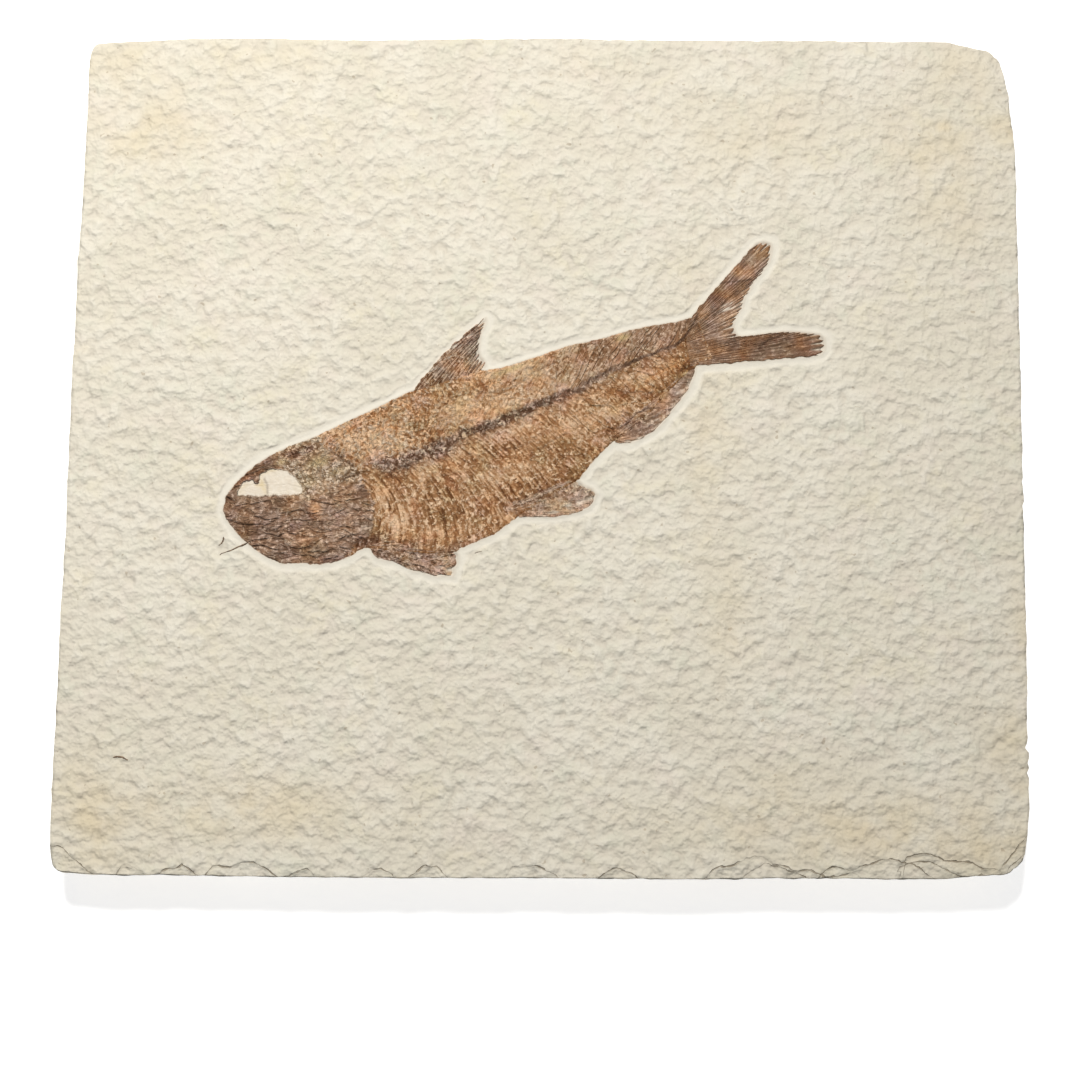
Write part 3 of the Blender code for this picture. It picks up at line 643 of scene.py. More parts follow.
# Rust: red-brown lines along the skull's roof and over the belly's rear, and patches
RUST_LINES = [
    [(2.9, 2.4), (5.2, 3.4), (7.1, 3.6), (9.5, 3.8)], [(5.1, 3.7), (7.4, 4.6), (9.8, 4.8)],
    [(88.3, -4.2), (92.0, -3.3), (95.9, -2.9), (98.7, -3.0)], [(84.9, -4.6), (88.4, -5.6)],
    [(39.0, 8.0), (40.4, 7.3), (42.0, 5.6)], [(28.0, 5.9), (30.2, 6.3)], [(33.8, 4.0), (35.9, 4.2),
     (38.0, 3.2)]
]
RUST_BLOTCHES = [
    (57.8, 5.9, 2.4, 0.7, 1.0), (42.0, 0.9, 1.6, 0.7, 0.6), (44.5, -0.3, 1.4, 0.6, 0.6),
    (17.0, -7.3, 1.0, 2.2, 0.7), (19.4, -4.4, 1.4, 1.2, 0.5), (31.0, -6.6, 2.4, 2.0, 0.5),
    (45.0, -8.0, 5.0, 3.0, 0.3), (66.0, -6.4, 9.0, 3.0, 0.3), (92.6, -3.4, 6.0, 1.8, 0.6),
    (36.0, 6.4, 5.0, 1.6, 0.3), (52.0, 3.6, 9.0, 3.0, 0.3), (36.5, -19.5, 4.0, 2.0, 0.35),
    (24.6, 5.6, 3.0, 1.2, 0.3), (12.6, -13.0, 3.0, 0.7, 0.4)
]
# Where the flank is grey, where the head's grey bone is brown, and yellow tints
GREY_BLOTCHES = [
    (59.0, -19.4, 5.0, 1.0, 0.8), (84.0, -12.2, 5.0, 2.0, 0.9), (25.6, -17.0, 3.6, 1.3, 0.9),
    (40.0, -23.6, 4.0, 1.0, 0.6), (31.0, -20.4, 5.0, 1.2, 0.8)
]
JAW_BROWN = [(17.0, -7.3, 1.4, 2.0, 0.8)]
YELLOW_BLOTCHES = [
    (61.5, 7.2, 2.6, 0.7, 0.7), (64.6, 7.2, 1.6, 0.5, 0.6), (87.0, 6.0, 1.3, 0.6, 0.9),
    (20.4, 1.8, 2.4, 1.0, 0.8), (17.0, -1.6, 2.2, 1.2, 0.4), (13.4, 4.2, 1.6, 0.6, 0.6),
    (23.6, -1.4, 1.8, 0.8, 0.5), (97.0, -5.2, 2.0, 0.4, 0.6), (105.6, -4.4, 1.6, 0.4, 0.7),
    (50.0, 3.0, 8.0, 2.4, 0.16)
]
# The coarse pale bone on the skull's roof, and the marks and tints in the bare socket
ROOF_PATCH = [(16.6, 5.1, 1.6, 0.9, 1.0), (19.2, 5.0, 2.0, 1.0, 1.0), (23.4, 1.8, 1.0, 1.0, 0.6)]
SOCKET_MARKS = [[(9.2, 2.0), (9.4, 0.8), (8.9, -0.9)]]
SOCKET_TINTS = [
    (8.5, 0.8, 0.6, 1.7, 0.8), (7.6, 1.4, 0.6, 0.6, 0.6), (3.6, 1.0, 1.6, 0.5, 0.2),
    (11.0, 3.2, 3.0, 0.4, 0.5), (4.4, 2.0, 2.0, 0.4, 0.4)
]


def on_plate(x, y):
    """From the fish's frame to the plate's, both in millimetres."""
    return (SNOUT[0] + x * math.cos(TURN) - y * math.sin(TURN),
            SNOUT[1] + x * math.sin(TURN) + y * math.cos(TURN))


def blotches(x, y, table):
    """Soft blotches from a table of (middle x, middle y, half width, half height, strength)."""
    return sum(share * np.exp(-((x - middle_x) / wide) ** 2 - ((y - middle_y) / tall) ** 2)
               for middle_x, middle_y, wide, tall, share in table)


def fold_lines(x, y, folds, width, stray=0.0):
    """1 along any of the lines, fading to 0 a width away; the lines stray from their points."""
    return np.max([fade(0.0, width, line_distance(x + stray, y + stray, fold)) for fold in folds],
                  axis=0)


def rib_place(x, y):
    """Where the rib through a point leaves the backbone, and how far down it the point is."""
    down = read_line(BACKBONE, x) - y
    start = x.copy()
    # the ribs lean and curve less towards the tail, so the start is found in four passes
    for again in range(4):
        lean = 0.72 - 0.0045 * (start - 29.0)
        sweep = 0.04 * np.exp(-(np.clip(start, 22.0, 110.0) - 29.0) / 15.0)
        start = x - lean * down + sweep * down * down
    above = x + np.interp(x, (25.0, 95.0), (0.9, 1.3)) * down
    return np.where(down > 0.0, start, above), down


def behind_gill(x, y):
    """How far a point lies behind the gill cover's rear edge; negative on the head."""
    return x - read_line([(-edge_y, edge_x) for edge_x, edge_y in GILL_EDGE], -y)


def body_surface(x, y):
    """The fish body's height, how far in from its outline a point is, and its colour masks."""
    inset = 0.24 * rough(x, y, 1.1, 74.0, 3) - outside(x, y, BODY_OUTLINE)
    start, down = rib_place(x, y)
    grainy = rough(x, y, 0.8, 61.0, 2)
    patchy = rough(x, y, 5.0, 62.0, 3)
    head = fade(-0.5, 0.5, behind_gill(x, y) + 1.1 * grainy)
    trunk = 1.0 - head
    # ribs under the backbone and finer slanting lines above it
    rib = np.interp(start, (15.0, 60.0, 110.0), (0.0, 28.0, 62.0)) + 0.35 * rough(x, y, 4.0, 63.0)
    lower = step(0.8, 2.8, down) * step(0.0, 1.4, inset)
    lower *= np.interp(x, (27.0, 34.0, 52.0, 70.0, 96.0), (0.9, 1.0, 0.8, 0.45, 0.35))
    upper = step(0.6, 2.0, -down) * step(0.0, 1.0, inset)
    upper *= np.interp(x, (27.0, 40.0, 60.0, 75.0, 90.0), (0.0, 0.1, 0.25, 0.35, 0.2))
    rib_show = trunk * (lower + upper)
    rib_show *= clamp(0.75 + 1.2 * rough(start, down * 0.4, 2.4, 64.0, 2), 1.3)
    # the backbone: a dark band, black cracks along it and grey under it
    wander = 0.4 * rough(x, y * 0.5, 1.6, 65.0, 2)
    spine_width = np.interp(x, (28.0, 33.0, 38.0, 43.0, 49.0, 66.0, 78.0, 85.0, 100.0),
                            (0.9, 1.9, 2.2, 2.2, 1.5, 1.2, 1.1, 0.6, 0.35))
    spine_width *= 1.0 + 0.6 * rough(x, y * 0.2, 2.2, 66.0)
    spine = fade(0.35, 1.2, np.abs(down + wander) / spine_width)
    spine *= step(28.5, 32.5, x + 2.0 * patchy)
    black = fold_lines(x, y, SPINE_CRACKS, 0.42, 0.4 * grainy)
    black *= np.interp(x, (76.0, 82.0), (1.0, 0.72))
    black *= step(-0.35, 0.15, rough(x, y * 0.4, 1.3, 73.0, 2) + 0.35 * step(76.0, 80.0, x))
    under_spine = np.exp(-((down - 1.4) / 1.2) ** 2) * step(28.0, 33.0, x)
    under_spine *= np.interp(x, (34.0, 50.0, 78.0, 92.0), (0.6, 0.6, 0.4, 0.2))
    # the head: crumpled plates, folds and a bare socket
    folds = np.maximum(fold_lines(x, y, DEEP_FOLDS, 0.40, 0.35 * grainy),
                       0.7 * fold_lines(x, y, SOFT_FOLDS, 0.34, 0.35 * grainy))
    socket_gap = outside(x, y, EYE_SOCKET) + 0.3 * grainy
    bare = fade(-0.15, 0.15, socket_gap)
    roof = blotches(x, y, ROOF_PATCH)
    cheek = head * step(11.0, 14.5, x) * step(-5.4, -2.6, y + 1.6 * patchy + 0.8 * grainy)
    cheek *= 1.0 - bare
    cheek *= 1.0 - clamp(1.5 * roof)
    jaw = head - cheek
    # the height: a crowned sheet with a worn rim
    rim = step(0.0, 0.8, inset)
    crown = 1.0 - np.exp(-np.clip(inset, 0.0, 40.0) / 4.5)
    height = BODY_EDGE + 0.38 * step(-0.28, 0.22, inset)
    height += 0.14 * crown * np.interp(x, (94.0, 102.8), (1.0, 0.5))
    height += (0.04 * head + 0.06 * patchy + 0.05 * grainy - 0.16 * folds * (1.0 - bare)) * rim
    height += 0.05 * np.cos(math.tau * rib) * rib_show * rim
    height += (0.05 * spine - 0.12 * black) * rim
    height += fade(-0.15, 1.3, socket_gap) * (SOCKET_LEVEL - height)
    # how pale the bone is, how far it turns grey, black, yellow or red-brown, and the painted shade
    # in its folds
    above = trunk * step(1.0, -1.5, down)
    tone = 0.56 + 0.01 * trunk + 0.24 * trunk * patchy - 0.02 * jaw + 0.02 * cheek
    tone += above * np.interp(x, (25.0, 32.0, 46.0, 52.0, 60.0, 68.0, 80.0, 100.0),
                              (0.34, 0.33, 0.06, 0.17, 0.32, 0.34, 0.17, 0.05))
    tone += (0.10 * step(16.0, 20.0, x) + 0.03) * head * (1.0 - cheek) + 0.01 * cheek
    tone -= 0.5 * blotches(x, y, DARK_BLOTCHES) * (1.0 + 0.6 * grainy)
    # painted highlights where chips of bone catch the light
    tone += 0.7 * blotches(x, y, PAINTED_HIGHLIGHT_CHIPS)
    tone -= spine * np.interp(x, (30.0, 50.0, 58.0, 70.0, 80.0), (0.10, 0.25, 0.43, 0.25, 0.12))
    tone += (0.12 * under_spine
             - 0.04 * trunk * (1.0 - above) * np.interp(x, (40.0, 75.0), (1.0, 0.0)))
    grey = jaw * (1.0 - blotches(x, y, JAW_BROWN)) * clamp(0.9 + 0.5 * patchy)
    grey_rear = trunk * step(60.0, 92.0, x) * step(-3.0, 2.0, -down + 1.6 * patchy) * 0.6
    for greyed in (0.9 * spine, 0.75 * under_spine, grey_rear,
                   trunk * blotches(x, y, GREY_BLOTCHES)):
        grey = np.maximum(grey, greyed)
    # painted shade along the folds, together with the backbone's black cracks
    crease_shade_and_cracks = clamp(folds * (1.0 - bare) * (0.55 + 0.6 * grainy) + 0.9 * black)
    crease_shade_and_cracks = np.maximum(crease_shade_and_cracks, bare * 0.42 * fold_lines(x, y, SOCKET_MARKS, 0.42))
    yellow = blotches(x, y, YELLOW_BLOTCHES) + bare * blotches(x, y, SOCKET_TINTS)
    rust = 0.9 * fold_lines(x, y, RUST_LINES, 0.55, 0.4 * grainy) + blotches(x, y, RUST_BLOTCHES)
    rust *= (1.0 - bare) * clamp(1.0 + 1.2 * grainy, 1.5)
    # how strong the fine grain and the long streaks are from place to place
    grain = 0.62 * trunk + 0.30 * jaw + 1.55 * cheek - 0.1 * clamp(rib_show)
    grain += 0.9 * clamp(roof) + above * np.interp(x, (25.0, 45.0, 60.0, 75.0, 100.0),
                                                   (1.35, 0.8, 0.45, 0.1, -0.25))
    grain += (spine + 0.5 * under_spine) * np.interp(x, (30.0, 50.0, 66.0, 76.0, 90.0),
                                                     (0.3, 0.6, 0.7, -0.1, -0.2))
    streaky = trunk * (0.64 + 0.12 * clamp(rib_show)) * (1.0 - 0.5 * above)
    streaky = 0.32 * head + streaky * np.interp(x, (66.0, 84.0), (1.0, 0.45))
    return height, inset, {
        "tone": tone, "grey": clamp(grey), "cheek": cheek, "bare": bare, "crease_shade_and_cracks": crease_shade_and_cracks,
        "yellow": clamp(yellow), "rust": clamp(rust), "grain": clamp(grain, 2.0),
        "streaky": streaky, "crumpled": jaw + trunk * (0.2 + 0.5 * step(62.0, 80.0, x)),
        "rib": rib, "rib_show": rib_show}


def head_streaks(x, y):
    """Which way the head's grain runs: across the streaks, along them, and where the head is."""
    level_x, level_y = on_plate(x, y)
    return level_y, level_x, behind_gill(x, y) < 0.0


def unit_grid(columns, rows):
    """A sheet to shape: each point's place across and along it, and which are on its border."""
    form = bmesh.new()
    bmesh.ops.create_grid(form, x_segments=columns, y_segments=rows, size=0.5)
    across, along = np.array([vertex.co[:2] for vertex in form.verts]).T + 0.5
    border = np.maximum(np.abs(across - 0.5), np.abs(along - 0.5)) > 0.5 - 1e-6
    return form, across, along, border


def lay_sheet(form, x, y, heights):
    """Lays a sheet's points on the plate, from their places in the fish's frame."""
    for vertex, place in zip(form.verts, zip(*on_plate(x, y), heights)):
        vertex.co = place


def close_under(form, level):
    """Carries a sheet's outline down to a level and fills it in underneath."""
    rim = [edge for edge in form.edges if edge.is_boundary]
    grown = bmesh.ops.extrude_edge_only(form, edges=rim)["geom"]
    foot = [item for item in grown if isinstance(item, bmesh.types.BMEdge) and item.is_boundary]
    for vertex in {corner for edge in foot for corner in edge.verts}:
        vertex.co.z = level
    bmesh.ops.edgeloop_fill(form, edges=foot)
    bmesh.ops.recalc_face_normals(form, faces=form.faces)


def finish_bone(name, form, masks, streaks, head=None):
    """Closes a sheet of bone underneath and gives it its colour masks and grain."""
    top_count = len(form.verts)
    close_under(form, BODY_FOOT)
    under = np.zeros(len(form.verts) - top_count)
    piece = finished(name, form, bone, "fossil_fish")
    for label, values in masks.items():
        paint(piece, label, np.concatenate([values, under]))
    corner = np.zeros(len(piece.data.loops), dtype=np.int32)
    piece.data.loops.foreach_get("vertex_index", corner)
    grain_map = np.stack([np.concatenate([line, under])[corner] for line in streaks], axis=1)
    if head:
        # a face lies wholly on the head or wholly off it, so no face stretches the grain
        starts, sizes = (np.zeros(len(piece.data.polygons), dtype=np.int32) for part in range(2))
        piece.data.polygons.foreach_get("loop_start", starts)
        piece.data.polygons.foreach_get("loop_total", sizes)
        head_map = np.stack([np.concatenate([line, under])[corner] for line in head], axis=1)
        in_head = np.repeat(head_map[starts, 2] > 0.5, sizes)
        grain_map = np.where(in_head[:, None], head_map[:, :2], grain_map)
    streak_map = piece.data.uv_layers.new(name="streak")
    streak_map.data.foreach_set("uv", grain_map.astype(np.float32).ravel())


def new_group(name, inputs, outputs):
    """An empty shader group with named inputs and outputs."""
    group = bpy.data.node_groups.new(name, "ShaderNodeTree")
    kinds = {"value": "NodeSocketFloat", "colour": "NodeSocketColor", "vector": "NodeSocketVector"}
    for way, sockets in (("INPUT", inputs), ("OUTPUT", outputs)):
        for label, kind in sockets.items():
            group.interface.new_socket(label, in_out=way, socket_type=kinds[kind])
    return group, group.nodes.new("NodeGroupInput"), group.nodes.new("NodeGroupOutput")


def use_group(tree, group, inputs):
    """Places a shader group in a material, with its own values, and gives its outputs."""
    return put(tree, "Group", inputs, node_tree=group).outputs


# Two-step tone: a pattern from 0 to 1 takes three colours of one mineral
mineral_tone, tone_in, tone_out = new_group(
    "mineral_tone", {"Pattern": "value", "Dark": "colour", "Middle": "colour", "Light": "colour"},
    {"Colour": "colour"})
low_half = mask(mineral_tone, tone_in.outputs["Pattern"], 0.0, 0.5, shape="LINEAR")
high_half = mask(mineral_tone, tone_in.outputs["Pattern"], 0.5, 1.0, shape="LINEAR")
toned = blend(mineral_tone, low_half, tone_in.outputs["Dark"], tone_in.outputs["Middle"])
toned = blend(mineral_tone, high_half, toned, tone_in.outputs["Light"])
mineral_tone.links.new(toned, tone_out.inputs["Colour"])

# Crumpled skin: stretched noise folded about its middle, so its creases are sharp lines
# and the skin between them swells up
crumpled, crumple_in, crumple_out = new_group(
    "crumpled_skin", {"Place": "vector", "Across": "value"}, {"Lines": "value", "Swell": "value"})
for label, detail, width, ends in (("Lines", 3.0, 0.040, (1.0, 0.0)),
                                   ("Swell", 2.0, 0.13, (0.0, 1.0))):
    folded = noise_of(crumpled, crumple_in.outputs["Place"], crumple_in.outputs["Across"], detail,
                      0.5, 0.5, noise_dimensions="2D")
    folded = worked(crumpled, "ABSOLUTE", minus(crumpled, folded, 0.5))
    crumpled.links.new(mask(crumpled, folded, 0.0, width, *ends), crumple_out.inputs[label])

bone, tree, shader = new_material("fossil_bone")
shader.inputs["Specular IOR Level"].default_value = 0.3
where = put(tree, "TexCoord").outputs["Object"]
streak = put(tree, "UVMap", uv_map="streak").outputs[0]
crumple_share, bare, local_grain = (read(tree, name) for name in ("crumpled", "bare", "grain"))
long_streaks = stretched(tree, streak, (1.9, 0.27, 1.0))
streaks = minus(tree, noise_of(tree, long_streaks, 1.0, 3.0, 0.6, noise_dimensions="2D"), 0.5)
crusty = noise_of(tree, where, 1150.0, 4.0, 0.66, 0.4)
# chips of bone: small cells, each with its own tone
wobble = noise_of(tree, streak, 2.2, 2.0, out="Color", noise_dimensions="2D")
chip_place = stretched(tree, where, (1000.0, 1000.0, 1000.0))
chip_place = put(tree, "VectorMath", {0: wobble, 1: (0.7, 0.7, 0.0), 2: chip_place},
                 operation="MULTIPLY_ADD").outputs[0]
chips = put(tree, "TexVoronoi", {"Vector": chip_place, "Scale": 2.3}, voronoi_dimensions="2D")
chip = put(tree, "SeparateColor", {"Color": chips.outputs["Color"]}).outputs[0]
chip_and_glint_tone = minus(tree, mask(tree, chip, 0.60, 1.0, 0.0, 0.46),
                  mask(tree, chip, 0.0, 0.42, 0.13, 0.0))
# glints: painted highlights, short pale curls where broken bone stands up to the light
curls = use_group(tree, crumpled, {"Place": chip_place, "Across": 0.9})["Swell"]
glints = times(tree, mask(tree, curls, 0.0, 0.9, 1.0, 0.0), mask(tree, crusty, 0.46, 0.58))
chip_and_glint_tone = plus(tree, chip_and_glint_tone, mask(tree, glints, 0.0, 1.0, -0.08, 0.85))
speck_noise = noise_of(tree, where, 2050.0, 1.0)
hue_noise = noise_of(tree, where, 240.0, 2.0, out="Color")
hues = put(tree, "SeparateColor", {"Color": hue_noise}).outputs
wide_folds, fine_folds = (
    use_group(tree, crumpled, {"Place": stretched(tree, streak, scale), "Across": across})
    for scale, across in (((1.0, 0.42, 1.0), 0.36), ((1.0, 0.55, 1.0), 0.95)))
# the rib or fin ray a point is on: dark down one side, pale down the other, both broken
turn = plus(tree, times(tree, read(tree, "rib"), math.tau), times(tree, streaks, 3.0))
dark_side = mask(tree, worked(tree, "COSINE", turn), 0.35, 0.95)
pale_side = mask(tree, worked(tree, "COSINE", minus(tree, turn, 2.1)), 0.45, 1.0)
pale_side = times(tree, pale_side, mask(tree, crusty, 0.40, 0.58))
rib_lines = minus(tree, times(tree, pale_side, 0.50), times(tree, dark_side, 0.28))
rib_lines = times(tree, rib_lines, read(tree, "rib_show"))
# the fine part: grain, streaks, rib lines and painted shade in the folds, about the piece's own
# tone
specks = mask(tree, speck_noise, 0.60, 0.76)
specks = times(tree, specks, mask(tree, hues[2], 0.38, 0.60, 0.15, 1.0))
grainy = plus(tree, times(tree, minus(tree, crusty, 0.5), 1.5), times(tree, specks, 0.5))
grainy = times(tree, plus(tree, grainy, chip_and_glint_tone), local_grain)
streaky = times(tree, times(tree, streaks, 1.7), read(tree, "streaky"))
fold_shade = plus(tree, times(tree, wide_folds["Lines"], crumple_share),
                 times(tree, fine_folds["Lines"], 0.42))
fine_part = plus(tree, plus(tree, grainy, streaky), rib_lines)
fine_part = minus(tree, fine_part, times(tree, fold_shade, 0.25))
pattern = plus(tree, read(tree, "tone"), fine_part)
flank, grey_bone, cheek_bone = (
    use_group(tree, mineral_tone,
              {"Pattern": pattern, "Dark": dark, "Middle": middle, "Light": light})["Colour"]
    for dark, middle, light in (
        ((0.130, 0.042, 0.005, 1), (0.412, 0.203, 0.080, 1), (1.0, 0.685, 0.43, 1)),
        ((0.086, 0.035, 0.012, 1), (0.268, 0.160, 0.101, 1), (0.74, 0.54, 0.43, 1)),
        ((0.115, 0.055, 0.018, 1), (0.410, 0.268, 0.160, 1), (0.93, 0.74, 0.56, 1))))
# painted highlights: the glints blended in as pale flecks
glint_share = times(tree, mask(tree, glints, 0.4, 1.0, 0.0, 0.62), local_grain)
yellow_share = times(tree, read(tree, "yellow"), mask(tree, pattern, 0.1, 0.8, 0.3, 0.9))
bare_stone = blend(tree, mask(tree, crusty, 0.3, 0.7),
                   (0.81, 0.705, 0.56, 1), (0.88, 0.79, 0.655, 1))
# the three bones, painted highlight flecks, patches of orange, olive, pink and rust, then the
# socket's stone, yellow tints, and painted shade in the creases with the backbone's black cracks
colour = flank
for share, over, how in (
        (read(tree, "grey"), grey_bone, "MIX"),
        (read(tree, "cheek"), cheek_bone, "MIX"),
        (glint_share, (1.0, 0.77, 0.55, 1), "MIX"),
        (mask(tree, hues[0], 0.46, 0.66, 0.0, 0.6), (1.0, 0.84, 0.66, 1), "MULTIPLY"),
        (mask(tree, hues[1], 0.48, 0.68, 0.0, 0.55), (0.86, 0.92, 0.82, 1), "MULTIPLY"),
        (mask(tree, hues[2], 0.50, 0.68, 0.0, 0.8), (0.98, 0.92, 1.0, 1), "MULTIPLY"),
        (read(tree, "rust"), (0.94, 0.76, 0.58, 1), "MULTIPLY"),
        (bare, bare_stone, "MIX"),
        (yellow_share, (0.74, 0.56, 0.26, 1), "MIX"),
        (read(tree, "crease_shade_and_cracks"), (0.085, 0.040, 0.018, 1), "MIX")):
    colour = blend(tree, share, colour, over, how)
swelling = plus(tree, wide_folds["Swell"], times(tree, fine_folds["Swell"], 0.4))
swelling = times(tree, swelling, crumple_share)
relief = plus(tree, times(tree, fine_part, 0.9), times(tree, swelling, 1.6))
relief = times(tree, relief, mask(tree, bare, 0.0, 1.0, 1.0, 0.1))
set_surface(tree, shader, colour, mask(tree, pattern, 0.2, 0.9, 0.62, 0.42), relief, 0.24)

form, across, along, border = unit_grid(BODY_COLUMNS, BODY_ROWS)
x = BODY_START + (BODY_END - BODY_START) * across
share = along - 0.05 * np.sin(math.tau * along)
ragged_edge = 0.20 * rough(x, along * 40.0, 1.2, 71.0, 3)
y = read_line(BELLY_LINE, x) * (1.0 - share) + read_line(BACK_LINE, x) * share
y += (ragged_edge + 0.30) * (2.0 * share - 1.0)
height, inset, masks = body_surface(x, y)
lay_sheet(form, x, y, np.where(border, BODY_EDGE, height))
finish_bone("fish_body", form, masks, rib_place(x, y), head_streaks(x, y))

# The five fins. Each is a fan of thin bone rays on a film of rock, dark where the rays
# lie close, with worn tips that leave pale rock between them.
FIN_LEVEL, FIN_EDGE = 12.03, 11.78
RAY_COLUMNS, RAY_ROWS = 12, 72
CLEAR_RAYS = 0.3        # a fin whose rays are clearer than this has its grain along them
# For each: how far its root lies over or under the body, how dark it is, how grey, how far
# in from the tips it is frayed, how pale the rock shows between its rays, its spread, how
# clear its rays are, how grainy it is and how crumpled
FIN_FINISH = {"dorsal_fin": (-0.12, -0.13, 0.6, 4.0, 0.8, 6.0, 0.95, 0.7, 0.1),
              "pectoral_fin": (0.02, -0.25, 0.85, 2.0, 0.35, 6.0, 0.15, 0.85, 0.9),
              "pelvic_fin": (0.0, -0.33, 0.7, 2.0, 0.3, 6.0, 0.1, 1.05, 0.3),
              "anal_fin": (0.0, -0.15, 0.85, 1.6, 0.35, 6.0, 0.1, 0.35, 0.35),
              "tail_fin": (0.04, -0.06, 0.75, 2.6, 0.7, 13.0, 0.36, 0.14, 0.2)}
# Cracks over the tail, and pale and dark blotches on the fins
TAIL_CRACKS = [
    [(109.5, 10.2), (111.0, 10.0), (113.2, 9.4), (114.6, 9.1), (115.8, 9.0)], [(112.1, -5.2),
     (114.3, -4.1), (117.4, -4.0)], [(107.0, 9.4), (107.6, 10.6), (108.3, 11.6)]
]
FIN_PALE = [
    (48.6, 12.3, 1.6, 0.3, 0.8), (51.6, 13.7, 1.4, 0.3, 0.8), (54.4, 15.3, 1.2, 0.4, 0.9),
    (57.2, 16.6, 1.0, 0.3, 0.8), (58.7, 14.6, 0.5, 1.0, 0.9), (59.3, 16.0, 0.6, 0.4, 0.8),
    (59.6, 17.9, 0.8, 0.2, 0.6), (93.6, -8.4, 0.5, 0.25, 0.5), (94.7, -8.2, 0.3, 0.25, 0.5),
    (80.7, -14.5, 0.8, 0.3, 0.8), (83.1, -14.6, 0.9, 0.3, 0.8), (87.6, -12.4, 0.5, 0.3, 0.7),
    (108.4, 4.9, 1.2, 0.3, 0.9), (110.6, 4.6, 2.4, 0.22, 0.9), (109.6, 5.6, 1.8, 0.2, 0.7),
    (107.9, 2.3, 1.0, 0.4, 0.7), (39.0, -27.4, 1.2, 0.4, 0.9), (37.6, -26.2, 1.2, 0.25, 0.7),
    (62.0, -23.4, 6.0, 0.6, 0.5), (66.0, -23.0, 4.0, 0.5, 0.5)
]
FIN_DARK = [
    (84.2, -12.2, 4.4, 1.9, 0.2), (111.5, -4.4, 8.0, 2.0, 0.42), (121.0, -7.4, 6.0, 2.6, 0.46),
    (110.0, 1.0, 2.2, 1.2, 0.4), (31.0, -21.0, 5.0, 1.6, 0.2), (120.0, 14.0, 2.4, 1.2, 0.35),
    (109.0, 8.2, 5.0, 1.2, 0.3), (70.4, -21.8, 1.4, 1.4, 0.5), (59.0, -20.0, 5.0, 0.8, 0.35),
    (66.0, -20.2, 3.5, 0.8, 0.3), (61.6, 18.2, 1.2, 1.4, 0.5), (47.0, 11.3, 0.7, 0.35, 0.7),
    (48.9, 12.2, 0.7, 0.35, 0.7), (53.6, 15.3, 0.7, 0.35, 0.7), (56.4, 16.8, 0.7, 0.35, 0.7),
    (58.7, 17.6, 0.7, 0.35, 0.7), (61.3, 18.6, 0.7, 0.35, 0.7)
]


def along_line(line, share):
    """Points a share of the way along a line of points."""
    points = np.array(line)
    run = np.concatenate([[0.0], np.cumsum(np.hypot(*np.diff(points, axis=0).T))])
    return (np.interp(share * run[-1], run, points[:, 0]),
            np.interp(share * run[-1], run, points[:, 1]))


